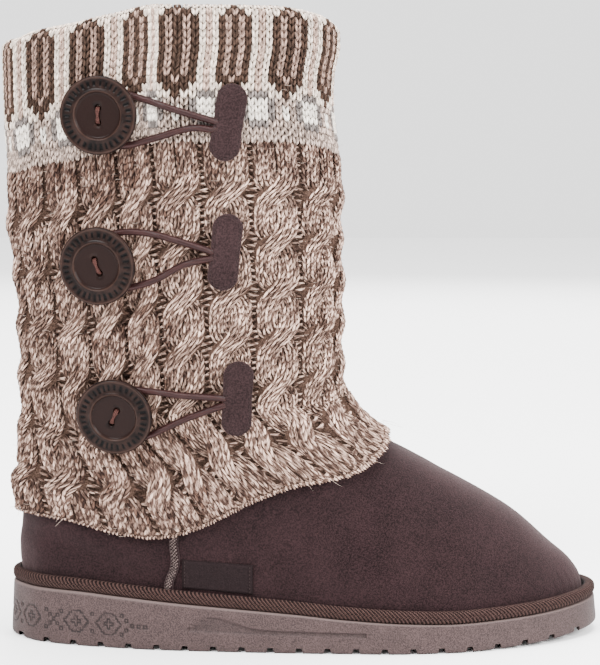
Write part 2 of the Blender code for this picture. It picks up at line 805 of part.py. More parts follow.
def make_button(number, frame):
    """Turned button with a raised rim, a flat ring and a dished middle, drilled with two holes."""
    radius, dish = BUTTON_DIAMETER / 2.0, BUTTON_DISH / 2.0
    high = BUTTON_THICKNESS
    profile = (
        (0.0, high - DISH_DEPTH),
        (dish - DISH_DEPTH, high - DISH_DEPTH),
        (dish, high),
        (dish + LIP_WIDTH, high - 0.5 * LIP_WIDTH),
        (radius - EDGE_ROUND, high - EDGE_ROUND),
        (radius, 0.50 * high),
        (radius - 1.4 * EDGE_ROUND, 0.0),
        (0.0, 0.0),
    )
    mesh = bpy.data.meshes.new(f"button_{number}")
    mesh.from_pydata([(x, 0.0, z) for x, z in profile], [(k, k + 1) for k in range(len(profile) - 1)], [])
    button = add_object(f"button_{number}", mesh, "button")
    turned = button.modifiers.new("turned", "SCREW")
    turned.steps = turned.render_steps = 18
    turned.use_merge_vertices = True
    turned.merge_threshold = 0.00005
    button.matrix_world = frame
    work = bmesh.new()
    for side in (-0.5, 0.5):
        drill = bmesh.ops.create_cone(
            work, segments=8, radius1=HOLE_DIAMETER / 2.0, radius2=HOLE_DIAMETER / 2.0,
            depth=3.0 * high, cap_ends=True,
        )["verts"]
        bmesh.ops.translate(work, verts=drill, vec=(0.0, side * HOLE_SPACING, 0.0))
    drills = bpy.data.meshes.new(f"drills_{number}")
    work.to_mesh(drills)
    work.free()
    cutter = add_object(f"drills_{number}", drills, None, "Cutters")
    cutter.matrix_world = frame
    cut(button, cutter)


def smooth_route(points, count):
    """Evenly spaced points on a smooth curve through the route's own points (Catmull-Rom)."""
    points = np.asarray(points, float)
    padded = np.vstack([2 * points[0] - points[1], points, 2 * points[-1] - points[-2]])
    fine = []
    for k in range(len(points) - 1):
        a, b, c, d = padded[k : k + 4]
        s = np.linspace(0.0, 1.0, 24, endpoint=False)[:, None]
        fine.append(
            0.5 * (2 * b + (c - a) * s + (2 * a - 5 * b + 4 * c - d) * s**2 + (3 * b - a - 3 * c + d) * s**3)
        )
    fine = np.vstack([*fine, points[-1:]])
    length = np.concatenate([[0.0], np.cumsum(np.linalg.norm(np.diff(fine, axis=0), axis=1))])
    wanted = np.linspace(0.0, length[-1], count)
    return np.stack([np.interp(wanted, length, fine[:, k]) for k in range(3)], -1)


def tube(name, points, diameter, finish):
    """A round cord along points that are already in the boot's placed frame."""
    curve = bpy.data.curves.new(name, "CURVE")
    curve.dimensions = "3D"
    curve.bevel_depth = diameter / 2.0
    curve.bevel_resolution = 2
    curve.use_fill_caps = True
    spline = curve.splines.new("POLY")
    spline.points.add(len(points) - 1)
    for point, place in zip(spline.points, points):
        point.co = (*place, 1.0)
    add_object(name, curve, finish)


def make_thread(number, frame):
    """Sewing thread: down through both holes from a short bar over the button, to the sleeve under it."""
    radius = THREAD_DIAMETER / 2.0
    hole = HOLE_SPACING / 2.0
    top = BUTTON_THICKNESS - DISH_DEPTH + GAP + radius
    foot = -(CORD_DIAMETER + GAP)
    half = [(0.0, 0.35 * hole, foot), (0.0, hole, 0.0), (0.0, hole, 0.6 * top), (0.0, 0.62 * hole, top)]
    route = half + [(x, -y, z) for x, y, z in reversed(half)]
    points = [frame @ Vector(p) for p in smooth_route(route, 9)]
    tube(f"button_thread_{number}", points, THREAD_DIAMETER, "thread")


def make_tab(number, frame, lean):
    """Round-ended suede tab sewn over the ends of the loop."""
    curve = bpy.data.curves.new(f"tab_{number}", "CURVE")
    curve.dimensions = "2D"
    curve.fill_mode = "BOTH"
    curve.extrude = TAB_THICKNESS / 2.0 - TAB_ROUND
    curve.bevel_depth = TAB_ROUND
    curve.bevel_resolution = 0
    curve.offset = -TAB_ROUND
    spline = curve.splines.new("POLY")
    straight = (TAB_LENGTH - TAB_WIDTH) / 2.0
    outline = []
    for end in (1.0, -1.0):
        for k in range(9):
            angle = math.pi * k / 8.0
            x, y = TAB_WIDTH / 2.0 * math.cos(angle), straight + TAB_WIDTH / 2.0 * math.sin(angle)
            outline.append((end * x, end * y))
    spline.points.add(len(outline) - 1)
    for point, (x, y) in zip(spline.points, outline):
        point.co = (x, y, TAB_THICKNESS / 2.0, 1.0)
    spline.use_cyclic_u = True
    tab = add_object(f"tab_{number}", curve, "suede")
    tab.matrix_world = frame @ Matrix.Rotation(-math.radians(lean), 4, "Z")


def make_loop(number, button, tab, lean):
    """Elastic loop: two strands from the tab, over the sleeve and round the thread behind the button."""
    out = CORD_DIAMETER / 2.0 + GAP
    under = out - CORD_DIAMETER - 2 * GAP
    start = -TAB_WIDTH / 2.0 - 2 * GAP
    reach = LOOP_REACH * BUTTON_DIAMETER / 2.0
    leaning = tab @ Matrix.Rotation(-math.radians(lean), 4, "Z")
    strands = []
    for side in (1.0, -1.0):
        spread = side * STRAND_SPREAD / 2.0
        edge = leaning @ Vector((start, spread, out))
        near = leaning @ Vector((start - STRAND_LEAD, 1.5 * spread, out))
        flank = button @ Vector((0.62 * reach, side * 0.80 * reach, under))
        behind = button @ Vector((-0.35 * reach, side * 0.86 * reach, under))
        strands.append([edge, near, near.lerp(flank, 0.5), flank, behind])
    far = button @ Vector((-0.9 * reach, 0.0, under))
    points = [*strands[0], far, *reversed(strands[1])]
    tube(f"loop_{number}", smooth_route([tuple(p) for p in points], 18), CORD_DIAMETER, "cord")


def make_fasteners():
    for number, (button_along, button_up, tab_along, tab_up, lean) in enumerate(FASTENERS, 1):
        button = seat(button_along * SOLE_LENGTH, button_up * SHAFT_HEIGHT, CORD_DIAMETER + 3 * GAP)
        tab = seat(tab_along * SOLE_LENGTH, tab_up * SHAFT_HEIGHT, 3 * GAP)
        make_button(number, button)
        make_thread(number, button)
        make_tab(number, tab, lean)
        make_loop(number, button, tab, lean)


def box_middle():
    """Middle of the boot's length and width, from the sole, the sleeve and the buttons."""
    turn = np.linspace(0.0, 2.0, 200, endpoint=False)
    points = [sole_ring(0.0, sole_top)]
    for level in (0.16 * SHAFT_HEIGHT, 0.94 * SHAFT_HEIGHT):
        at = np.full_like(turn, level)
        points.append(on_body(turn, at, sleeve_stand(turn, at)))
    low, high = np.vstack(points).min(axis=0), np.vstack(points).max(axis=0)
    low[1] -= CORD_DIAMETER + BUTTON_THICKNESS
    return (low[0] + high[0]) / 2.0, (low[1] + high[1]) / 2.0


def clear_scene():
    for old in list(bpy.data.objects):
        bpy.data.objects.remove(old)
    for name in ("Boot", "Cutters"):
        bpy.context.scene.collection.children.link(bpy.data.collections.new(name))


clear_scene()
ORIGIN_DISTANCE, ORIGIN_SIDE = box_middle()
make_outsole()
make_tape()
make_insole()
make_upper()
make_seam("seam_outer", True)
make_seam("seam_inner", False)
make_label()
make_sleeve()
make_fasteners()
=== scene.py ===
"""Looks of a right pull-on winter boot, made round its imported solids.

Metres, +Z up, +X to the toe, -Y to the outer side of the foot. Shapes are worked out in the boot's own frame:
distances run from the heel end of the sole, levels run up from the feather line where upper meets sole, and
placed() moves them to the model's frame. A turn runs round a level section, 0 to 1 over the outer side from
back to front and 1 to 2 over the inner side. Tables hold shares of the named sizes.
"""

import functools
import math

import bmesh
import bpy
import numpy as np
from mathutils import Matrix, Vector


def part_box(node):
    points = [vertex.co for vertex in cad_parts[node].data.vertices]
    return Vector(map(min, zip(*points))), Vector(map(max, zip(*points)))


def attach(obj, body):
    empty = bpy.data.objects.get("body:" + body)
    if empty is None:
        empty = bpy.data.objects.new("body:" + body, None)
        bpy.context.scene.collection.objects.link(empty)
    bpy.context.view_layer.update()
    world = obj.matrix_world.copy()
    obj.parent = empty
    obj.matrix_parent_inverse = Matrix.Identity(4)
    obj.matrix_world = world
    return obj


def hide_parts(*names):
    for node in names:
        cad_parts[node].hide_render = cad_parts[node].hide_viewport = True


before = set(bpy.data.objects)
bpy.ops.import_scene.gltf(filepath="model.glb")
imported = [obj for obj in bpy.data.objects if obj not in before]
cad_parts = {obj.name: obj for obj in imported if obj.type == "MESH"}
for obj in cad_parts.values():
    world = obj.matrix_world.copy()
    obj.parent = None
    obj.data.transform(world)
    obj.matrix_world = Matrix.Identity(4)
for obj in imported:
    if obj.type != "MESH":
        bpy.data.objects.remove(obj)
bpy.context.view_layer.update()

# Foot and shaft, as the solids have them
SOLE_LENGTH = 0.280
BALL_WIDTH = 0.0985
TOE_INWARD = 0.007
HEEL_THICKNESS = 0.0256
BALL_THICKNESS = 0.0130
TOE_SPRING = 0.0040
INSTEP_HEIGHT = 0.100
SHAFT_HEIGHT = 0.2635
SHAFT_WIDTH = 0.092
TOE_BEND_START = 0.45
SPRING_START = 0.72
ARCH_POWER = 2.1
OVAL_POWER = 2.3
SHAFT_BLEND_START = 0.40
SHAFT_BLEND_RISE = 0.65
FLAT_LEVEL = 0.9
ROOF_TOP = 0.785
ROOF_SLOPE = 1.6
WALL = 0.0025
GAP = 0.0003

# Sole and tape
SOLE_FLARE = 0.0013
SOLE_EDGE = 0.0016
GROOVE_PITCH = 0.0131
GROOVE_WIDTH = 0.0031
GROOVE_DEPTH = 0.0022
FIRST_GROOVE = 0.006
CHANNEL_DEPTH = 0.0008
CHANNEL_START = 0.086
CHANNEL_LENGTH = 0.082
CHANNEL_HEIGHT = 0.0046
CHANNEL_LOW = 0.0075
TAPE_WIDTH = 0.0052
TAPE_HEIGHT = 0.0058
RIB_PITCH = 0.0019
RIB_SLANT = 0.0021
RIB_DEPTH = 0.00026
TAPE_THREAD = 0.0009
INSOLE_THICKNESS = 0.004
INSOLE_FIT = 0.0006

# Knitted sleeve
CABLES = 18
BAND_HEIGHT = 0.060
BAND_THICKNESS = 0.0048
CABLE_BASE = 0.0026
CABLE_RELIEF = 0.0037
TWIST_PITCH = 0.0245
FOLD_OVER = 0.0045
FOLD_DEPTH = 0.026
FOLD_THICKNESS = 0.0026
SLEEVE_GAP = 0.0008
HOLLOW_SLACK = 0.0017
HOLLOW_START = 0.48
HOLLOW_MIDDLE = 0.75
HOLLOW_SPREAD = 0.22

# Buttons, loops, tabs, seams and label
BUTTON_DIAMETER = 0.034
BUTTON_THICKNESS = 0.0042
DISH_DEPTH = 0.0012
HOLE_SPACING = 0.0066
CORD_DIAMETER = 0.0024
PLAIT_PITCH = 0.0016
TAB_LENGTH = 0.0345
TAB_WIDTH = 0.0142
TAB_THICKNESS = 0.0020
LOOP_REACH = 0.74
THREAD_SHIFT = 0.00080
TAB_STITCH_LINE = 0.83
TAB_STITCHES = 46
SEAM_DISTANCE = 0.080
SEAM_WIDTH = 0.0042
SEAM_HEIGHT = 0.0017
SEAM_PACE = 0.0015
LABEL_DISTANCE = 0.0835
LABEL_LEVEL = 0.0068
LABEL_LENGTH = 0.0325
LABEL_HEIGHT = 0.0128
LABEL_THREAD = 0.0007

# Stitches: wales are columns of stitches and rows run up from the hem
CABLE_WALES = 7
CABLE_ROWS = 54
CROSS_ROWS = 8
FIRST_CROSS = 6.0
CROSS_HASTE = 0.085
BAND_WALES = 128
BAND_ROWS = 19
RIM_ROWS = 6
STRAND_SWING = 1.60
STRAND_ROUND = 1.85
STRAND_EDGE = 1.75
STRAND_HUMP = 0.0032
STRAND_LIFT = 0.0017
LEG_HALF = 0.98
LEG_ACROSS = 0.00070
LEG_OUT = 0.00062
BAND_LEG = 0.76

# Sole outline: share of its length, outer and inner half-width as shares of BALL_WIDTH
OUTLINE = (
    (0.00, 0.000, 0.000), (0.02, 0.143, 0.143), (0.05, 0.232, 0.232), (0.11, 0.312, 0.312),
    (0.19, 0.375, 0.358), (0.26, 0.415, 0.368), (0.40, 0.457, 0.350), (0.49, 0.479, 0.362),
    (0.56, 0.495, 0.402), (0.66, 0.520, 0.465), (0.74, 0.511, 0.483), (0.83, 0.451, 0.460),
    (0.90, 0.370, 0.392), (0.957, 0.250, 0.262), (1.00, 0.000, 0.000),
)

# Sole top: share of its length, share of the way from BALL_THICKNESS to HEEL_THICKNESS
WEDGE = (
    (0.00, 1.00), (0.11, 0.98), (0.19, 0.87), (0.31, 0.66), (0.39, 0.53), (0.49, 0.36), (0.56, 0.20),
    (0.66, 0.06), (0.74, 0.00), (1.00, 0.00),
)

# Vamp ridge: share of INSTEP_HEIGHT, share of SOLE_LENGTH from the heel end
VAMP_FRONT = (
    (0.000, 0.974), (0.080, 0.970), (0.160, 0.953), (0.250, 0.918), (0.360, 0.867), (0.520, 0.763),
    (0.650, 0.661), (0.710, 0.612), (0.785, 0.571), (0.860, 0.547), (1.000, 0.540),
)

# Shaft front: share of the way from INSTEP_HEIGHT to SHAFT_HEIGHT, share of SOLE_LENGTH
SHAFT_FRONT = (
    (0.24, 0.5415), (0.38, 0.5385), (0.55, 0.5400), (0.66, 0.5350), (0.76, 0.5285), (0.84, 0.5300),
    (0.93, 0.5390), (1.05, 0.5390),
)

# Back of the foot: share of INSTEP_HEIGHT, inset from the heel end as a share of SOLE_LENGTH
FOOT_BACK = (
    (0.00, 0.0210), (0.17, 0.0182), (0.27, 0.0204), (0.41, 0.0204), (0.50, 0.0246), (0.63, 0.0330),
    (0.80, 0.0405), (1.00, 0.0420),
)

# Back of the shaft: share of the way up, inset as above
SHAFT_BACK = (
    (0.11, 0.0414), (0.23, 0.0390), (0.34, 0.0318), (0.45, 0.0262), (0.59, 0.0235), (0.70, 0.0195),
    (1.05, 0.0160),
)

# Half-width of the shaft: share of SHAFT_HEIGHT, share of SHAFT_WIDTH
SHAFT_SIDE = (
    (0.00, 0.430), (0.30, 0.425), (0.45, 0.445), (0.60, 0.470), (0.80, 0.485), (1.05, 0.510),
)

# Collar by turn and hem by way round, from back to front: share of SHAFT_HEIGHT
COLLAR = (
    (0.00, 0.941), (0.13, 0.944), (0.20, 0.955), (0.30, 0.966), (0.39, 0.981), (0.49, 0.997),
    (0.72, 0.996), (0.86, 0.985), (0.93, 0.975), (0.97, 0.969), (1.00, 0.968),
)
HEM = (
    (0.00, 0.129), (0.06, 0.130), (0.13, 0.126), (0.22, 0.110), (0.27, 0.108), (0.35, 0.126),
    (0.41, 0.148), (0.48, 0.173), (0.60, 0.202), (0.66, 0.209), (0.74, 0.217), (0.84, 0.236),
    (0.93, 0.254), (0.97, 0.260), (1.00, 0.261),
)

# Each loop's upper and lower strand from the tab to the button's rim: millimetres along and up from the
# button's middle
STRANDS = (
    (
        ((49.6, -3.4), (47.6, -2.8), (31.0, 2.4), (16.0, 7.6)),
        ((49.6, -6.2), (47.6, -6.6), (37.4, -6.1), (21.5, -10.7), (10.4, -13.6)),
    ),
    (
        ((48.0, 5.4), (45.9, 6.4), (31.9, 11.1), (20.8, 14.0), (9.9, 14.6)),
        ((48.0, 3.2), (45.9, 2.6), (35.3, 0.0), (23.5, -6.4), (14.0, -9.6)),
    ),
    (
        ((47.0, 6.2), (44.8, 7.0), (29.2, 8.4), (14.8, 10.4)),
        ((47.0, 3.9), (44.8, 3.0), (31.8, -1.8), (20.8, -6.9), (12.8, -10.4)),
    ),
)

# How the knit is stretched over the leg: share of the wales, way round in turns of even length
STRETCH = (
    (0.000, 0.000), (0.111, 0.100), (0.222, 0.202), (0.333, 0.290), (0.444, 0.381), (0.556, 0.466),
    (0.667, 0.577), (0.778, 0.691), (0.889, 0.810), (1.000, 0.929), (1.111, 1.048), (2.000, 2.000),
)

BAND_STRETCH = (
    (0.000, 0.075), (0.0625, 0.124), (0.1094, 0.171), (0.1875, 0.249), (0.2344, 0.286), (0.3125, 0.366),
    (0.3594, 0.409), (0.4375, 0.464), (0.4844, 0.487), (0.5625, 0.577), (0.6094, 0.620),
    (0.6875, 0.693), (0.7344, 0.741), (0.8125, 0.828), (0.8594, 0.873), (0.9375, 0.945), (1.000, 1.005),
    (2.000, 2.075),
)

# Fasteners: distance and level of the button, then of the tab, as shares of SOLE_LENGTH and SHAFT_HEIGHT,
# the tab's lean and the lean of the button's holes in degrees
FASTENERS = (
    (0.1804, 0.8330, 0.3732, 0.8197, 9.0, 0.0), (0.1786, 0.5806, 0.3679, 0.6015, 6.0, 20.0),
    (0.2000, 0.3264, 0.3857, 0.3510, 2.0, -25.0),
)

# Band's colour chart, one row of stitches a line from the rim down, eight wales to a repeat:
# cream, beige, brown, tan, grey, light and white
BAND_CHART = ("CCCCCNCC", "CBCCNTNC", *["CBCNTNTN"] * 8, "CBCNNTNN", "CBCCNNNC", "GGGCCNCC")
BAND_CHART += ("WWWGLLLG", "WWWGLWLG", "WWWGLWLG", "GGGLLLLL", "LLLLLLLL", "LLLLLLLL")
CHART_SHIFT = 4
YARNS = {
    "C": ((0.820, 0.680, 0.570), 0.32),
    "B": ((0.560, 0.390, 0.315), 0.50),
    "N": ((0.060, 0.035, 0.025), 0.45),
    "T": ((0.370, 0.240, 0.190), 0.55),
    "G": ((0.215, 0.182, 0.168), 0.52),
    "L": ((0.530, 0.400, 0.335), 0.62),
    "W": ((0.880, 0.800, 0.710), 0.12),
}

random = np.random.default_rng(7)


def smooth_step(x):
    """0 below 0, 1 above 1, and an even rise between."""
    x = np.clip(x, 0.0, 1.0)
    return x * x * (3.0 - 2.0 * x)


def through(xs, ys, x):
    """A smooth curve through the rows of a table that never swings past them (a monotone cubic)."""
    xs, ys = np.asarray(xs, float), np.asarray(ys, float)
    step = np.diff(xs)
    slope = np.diff(ys) / step
    inner = np.zeros(len(xs))
    same = slope[:-1] * slope[1:] > 0.0
    first = 2.0 * step[1:] + step[:-1]
    second = step[1:] + 2.0 * step[:-1]
    safe = np.where(same, slope[:-1], 1.0), np.where(same, slope[1:], 1.0)
    inner[1:-1] = np.where(same, (first + second) / (first / safe[0] + second / safe[1]), 0.0)
    inner[0], inner[-1] = slope[0], slope[-1]
    x = np.clip(x, xs[0], xs[-1])
    k = np.clip(np.searchsorted(xs, x, side="right") - 1, 0, len(step) - 1)
    s = (x - xs[k]) / step[k]
    rise = step[k]
    return (
        ys[k] * (1 + 2 * s) * (1 - s) ** 2
        + inner[k] * rise * s * (1 - s) ** 2
        + ys[k + 1] * s * s * (3 - 2 * s)
        + inner[k + 1] * rise * s * s * (s - 1)
    )


def column(table, number):
    return [row[number] for row in table]


def read_table(table, x):
    """A smooth curve through a table's first two columns."""
    return through(column(table, 0), column(table, 1), x)


def unit(rows):
    """Directions of length one."""
    return rows / np.linalg.norm(rows, axis=-1, keepdims=True)


def run_along(points):
    """Length along a path at each of its points."""
    return np.concatenate([[0.0], np.cumsum(np.linalg.norm(np.diff(points, axis=0), axis=1))])


def sole_steps(count):
    """Distances over the whole sole, close together at its two ends."""
    return SOLE_LENGTH * (1.0 - np.cos(np.linspace(0.0, math.pi, count))) / 2.0


def end_angle(share):
    """Share of a length, spread out at both ends as a half circle is, so round ends read as even steps."""
    return np.arccos(1.0 - 2.0 * np.clip(share, 0.0, 1.0)) / math.pi


def levels(low_table, high_table):
    """Level and value columns of a foot table carried on by a shaft table."""
    rise = SHAFT_HEIGHT - INSTEP_HEIGHT
    level = [row[0] * INSTEP_HEIGHT for row in low_table]
    level += [INSTEP_HEIGHT + row[0] * rise for row in high_table]
    return level, [row[1] * SOLE_LENGTH for row in (*low_table, *high_table)]


def half_widths(distance):
    """Outer and inner half-width of the sole at a distance from the heel end."""
    at = end_angle(distance / SOLE_LENGTH)
    places = end_angle(np.array(column(OUTLINE, 0)))
    return [BALL_WIDTH * through(places, column(OUTLINE, k), at) for k in (1, 2)]


@functools.cache
def feather_outline():
    """The sole's outline moved in by TAPE_WIDTH: shares of its own length and half-width, outer and inner."""
    fine = sole_steps(400)
    found = []
    for half in half_widths(fine):
        slope = unit(np.gradient(np.stack([fine, half], -1), axis=0))
        moved = np.stack([fine + TAPE_WIDTH * slope[:, 1], half - TAPE_WIDTH * slope[:, 0]], -1)
        moved[0], moved[-1] = (TAPE_WIDTH, 0.0), (SOLE_LENGTH - TAPE_WIDTH, 0.0)
        reach = (moved[:, 0] - TAPE_WIDTH) / (SOLE_LENGTH - 2.0 * TAPE_WIDTH)
        order = np.argsort(reach)
        found.append((reach[order], np.maximum(moved[order, 1], 0.0)))
    return found


def centre_line(distance):
    """Sideways place of the boot's middle, which bends inwards to the toe."""
    return TOE_INWARD * smooth_step((distance / SOLE_LENGTH - TOE_BEND_START) / (1.0 - TOE_BEND_START))


def sole_bottom(distance):
    """Height of the tread, flat to the ball and lifted at the toe."""
    share = np.clip((distance / SOLE_LENGTH - SPRING_START) / (1.0 - SPRING_START), 0.0, 1.0)
    return TOE_SPRING * share**2


def sole_top(distance):
    """Height of the sole's top: a wedge from the heel to the ball."""
    share = read_table(WEDGE, distance / SOLE_LENGTH)
    return BALL_THICKNESS + (HEEL_THICKNESS - BALL_THICKNESS) * share + sole_bottom(distance)


def front_edge(level):
    return through(*levels(VAMP_FRONT, SHAFT_FRONT), level)


def back_edge(level):
    return through(*levels(FOOT_BACK, SHAFT_BACK), level)


@functools.cache
def vamp_ridge():
    """Front edge of the foot at close levels up to ROOF_TOP, as pairs of distance, falling, and level."""
    steps = np.linspace(0.0, ROOF_TOP * INSTEP_HEIGHT, 4000)
    return front_edge(steps), steps


def ridge_level(distance):
    """Level of the vamp's ridge over a distance: the front edge read the other way, and a slope behind it."""
    front, level = vamp_ridge()
    behind = np.maximum(front[-1] - distance, 0.0)
    return np.interp(-distance, -front, level, left=0.0) + ROOF_SLOPE * behind


def body(turn, level):
    """Outer face of the upper: level sections of arches over the foot, superellipses at the shaft."""
    turn = np.mod(turn, 2.0)
    outer = turn <= 1.0
    share = np.where(outer, turn, 2.0 - turn)
    back, front = back_edge(level), front_edge(level)
    distance = back + (front - back) * (1.0 - np.cos(math.pi * share)) / 2.0
    reach = (distance - back) / (front_edge(0.0) - back_edge(0.0))
    sides = [np.interp(reach, *side) for side in feather_outline()]
    base = np.where(outer, *sides)
    roof = np.clip(level / np.maximum(ridge_level(distance), 1e-6), 0.0, 1.0)
    arch = base * (1.0 - roof**ARCH_POWER) ** (1.0 / ARCH_POWER)
    across = np.abs(2.0 * (distance - back) / (front - back) - 1.0)
    oval = (1.0 - np.minimum(across, 1.0) ** OVAL_POWER) ** (1.0 / OVAL_POWER)
    width = SHAFT_WIDTH * read_table(SHAFT_SIDE, level / SHAFT_HEIGHT)
    shaft = smooth_step((level / INSTEP_HEIGHT - SHAFT_BLEND_START) / SHAFT_BLEND_RISE)
    half = arch * (1.0 - shaft) + width * oval * shaft
    y = centre_line(distance) * (1.0 - shaft) + np.where(outer, -half, half)
    return np.stack([distance, y, height_of(distance, level)], -1)


def height_of(distance, level):
    """Height above the floor: level sections follow the sole's wedge at its top and flatten out going up."""
    flatten = smooth_step(level / (FLAT_LEVEL * INSTEP_HEIGHT))
    heel = sole_top(0.0)
    return GAP + level + heel + (sole_top(distance) - heel) * (1.0 - flatten)


def body_normal(turn, level):
    """Outward direction of the upper's outer face, from its slopes round and up."""
    step_round, step_up = 5e-3, 2e-4
    low = np.maximum(level - step_up, 0.0)
    around = body(turn + step_round, level) - body(turn - step_round, level)
    upward = body(turn, low + 2.0 * step_up) - body(turn, low)
    return unit(np.cross(around, upward))


def on_body(turn, level, offset):
    """Points that stand off the upper's outer face by an offset, inwards where it is negative."""
    return body(turn, level) + body_normal(turn, level) * np.asarray(offset)[..., None]


def turn_at(distance, level, outer=True):
    """The turn at which a level section reaches a distance from the heel end."""
    back, front = back_edge(level), front_edge(level)
    share = end_angle((distance - back) / (front - back))
    return share if outer else 2.0 - share


def even_turns(count, level):
    """Turns of so many points, ends included, spaced evenly along each side of the section at a level."""
    fine = np.linspace(0.0, 2.0, 801)
    length = run_along(body(fine, np.full_like(fine, level)))
    front = length[len(fine) // 2]
    wanted = np.linspace(0.0, 2.0, count)
    along = np.where(wanted < 1.0, wanted * front, front + (wanted - 1.0) * (length[-1] - front))
    return np.interp(along, length, fine)


def one_side(turn):
    """The turn, or the way round, counted from the back on either side."""
    turn = np.mod(turn, 2.0)
    return np.minimum(turn, 2.0 - turn)


def hollow_slack(turn, level):
    """How far the stretched sleeve stands clear of the upper where it bridges the hollow of the instep."""
    high = np.exp(-(((level / INSTEP_HEIGHT - HOLLOW_MIDDLE) / HOLLOW_SPREAD) ** 2))
    return HOLLOW_SLACK * high * smooth_step((one_side(turn) - HOLLOW_START) / 0.25)


def collar_level(turn):
    """Level of the upper's own collar, which the sleeve folds over."""
    return SHAFT_HEIGHT * read_table(COLLAR, one_side(turn))


# The sleeve's places are read from a map of the leg, made once
MAP_TOP = 1.06 * SHAFT_HEIGHT
MAP_ROWS = 260
MAP_COLUMNS = 481
TURN_ROWS = 40


@functools.cache
def leg_map():
    """Turns, places and outward directions on a grid: rows are even levels, columns even ways round."""
    level = np.linspace(0.0, MAP_TOP, MAP_ROWS)
    coarse = np.stack([even_turns(MAP_COLUMNS, at) for at in np.linspace(0.0, MAP_TOP, TURN_ROWS)])
    row = np.linspace(0.0, TURN_ROWS - 1.0, MAP_ROWS)
    low = np.minimum(row.astype(int), TURN_ROWS - 2)
    part = (row - low)[:, None]
    turns = coarse[low] * (1.0 - part) + coarse[low + 1] * part
    level = np.repeat(level[:, None], MAP_COLUMNS, 1)
    return turns, on_body(turns, level, hollow_slack(turns, level)), body_normal(turns, level)


def read_map(grid, way, level):
    """Reads a grid of the map between its rows and columns."""
    across = np.mod(way, 2.0) / 2.0 * (MAP_COLUMNS - 1)
    up = np.clip(level / MAP_TOP, 0.0, 1.0) * (MAP_ROWS - 1)
    c = np.clip(across.astype(int), 0, MAP_COLUMNS - 2)
    r = np.clip(up.astype(int), 0, MAP_ROWS - 2)
    s, t = across - c, up - r
    if grid.ndim == 3:
        s, t = s[..., None], t[..., None]
    low = grid[r, c] * (1.0 - s) + grid[r, c + 1] * s
    high = grid[r + 1, c] * (1.0 - s) + grid[r + 1, c + 1] * s
    return low * (1.0 - t) + high * t


def on_leg(way, level, offset, stand=0.0, tilt=0.0):
    """Points off the leg: an offset outwards, then a stand-off in a direction tilted from outwards to up."""
    way, level, offset, stand, tilt = np.broadcast_arrays(way, level, offset, stand, tilt)
    _, places, outward = leg_map()
    place = read_map(places, way, level)
    out = read_map(outward, way, level)
    point = place + out * (offset + stand * np.cos(tilt))[..., None]
    point[..., 2] += stand * np.sin(tilt)
    return point


def way_of(share, table=STRETCH):
    """Way round of a share of the wales, 0 to 2 from the back over the outer side and round."""
    return read_table(table, np.mod(share, 2.0))


@functools.cache
def sleeve_edges():
    """Even ways round, and the levels there of the hem and of the upper's collar."""
    way = np.linspace(0.0, 2.0, 801)
    turns = read_map(leg_map()[0], np.minimum(way, 1.9999), np.full_like(way, SHAFT_HEIGHT))
    hem = SHAFT_HEIGHT * read_table(HEM, one_side(way))
    return way, hem, collar_level(turns)


def hem_level(way):
    way_at, hem, _ = sleeve_edges()
    return np.interp(np.mod(way, 2.0), way_at, hem)


def collar_round(way):
    way_at, _, collar = sleeve_edges()
    return np.interp(np.mod(way, 2.0), way_at, collar)


def band_level(way):
    """Level of the band's lower edge."""
    return collar_round(way) + FOLD_OVER - BAND_HEIGHT


def placed(points):
    """Moves points from the boot's own frame to the model's."""
    return np.asarray(points, float) - np.array([ORIGIN_DISTANCE, ORIGIN_SIDE, 0.0])


def frame_origin():
    """Where the model's origin lies in the boot's own frame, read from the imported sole."""
    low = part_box("outsole")[0]
    distance = SOLE_LENGTH * (1.0 - np.cos(math.pi * np.linspace(0.0, 1.0, 24))) / 2.0
    outer = centre_line(distance) - half_widths(distance)[0]
    return -low.x, outer.min() - low.y


ORIGIN_DISTANCE, ORIGIN_SIDE = frame_origin()


def add_piece(name, points, faces, finish, nodes=(), slot=None, weld=False, **layers):
    """A piece from an array of points and arrays of faces. Layers are values at its points: numbers,
    or rows of three, that its finish reads."""
    points = placed(points).reshape(-1, 3)
    faces = faces if isinstance(faces, (list, tuple)) else [faces]
    if volume_inside(points, faces) < 0.0:
        faces = [f[:, ::-1] for f in faces]
    mesh = bpy.data.meshes.new(name)
    corners = np.concatenate([f.ravel() for f in faces]).astype(np.int32)
    sizes = np.concatenate([np.full(len(f), f.shape[1]) for f in faces])
    mesh.vertices.add(len(points))
    mesh.vertices.foreach_set("co", points.astype(np.float32).ravel())
    mesh.loops.add(len(corners))
    mesh.loops.foreach_set("vertex_index", corners)
    mesh.polygons.add(len(sizes))
    mesh.polygons.foreach_set("loop_start", (np.cumsum(sizes) - sizes).astype(np.int32))
    mesh.update(calc_edges=True)
    for key, values in layers.items():
        values = np.asarray(values, np.float32)
        wide = values.size > len(points)
        layer = mesh.attributes.new(key, "FLOAT_VECTOR" if wide else "FLOAT", "POINT")
        layer.data.foreach_set("vector" if wide else "value", values.ravel())
    if weld:
        clean_mesh(mesh, 2e-6, 1e-7)
    mesh.shade_smooth()
    piece = new_object(name, mesh)
    mesh.materials.append(finish)
    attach(piece, "root")
    if nodes:
        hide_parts(*nodes)
    return piece


def add_grid(name, rings, finish, nodes=(), slot=None, wrap=(True, True), weld=False, **layers):
    """A piece whose points lie in rings, row after row. A layer may hold one value to a row or a column."""
    layers = {key: np.broadcast_to(values, rings.shape[:2]) for key, values in layers.items()}
    return add_piece(name, rings, grid_faces(*rings.shape[:2], *wrap), finish, nodes, slot, weld, **layers)


def new_object(name, data):
    made = bpy.data.objects.new(name, data)
    bpy.context.scene.collection.objects.link(made)
    return made


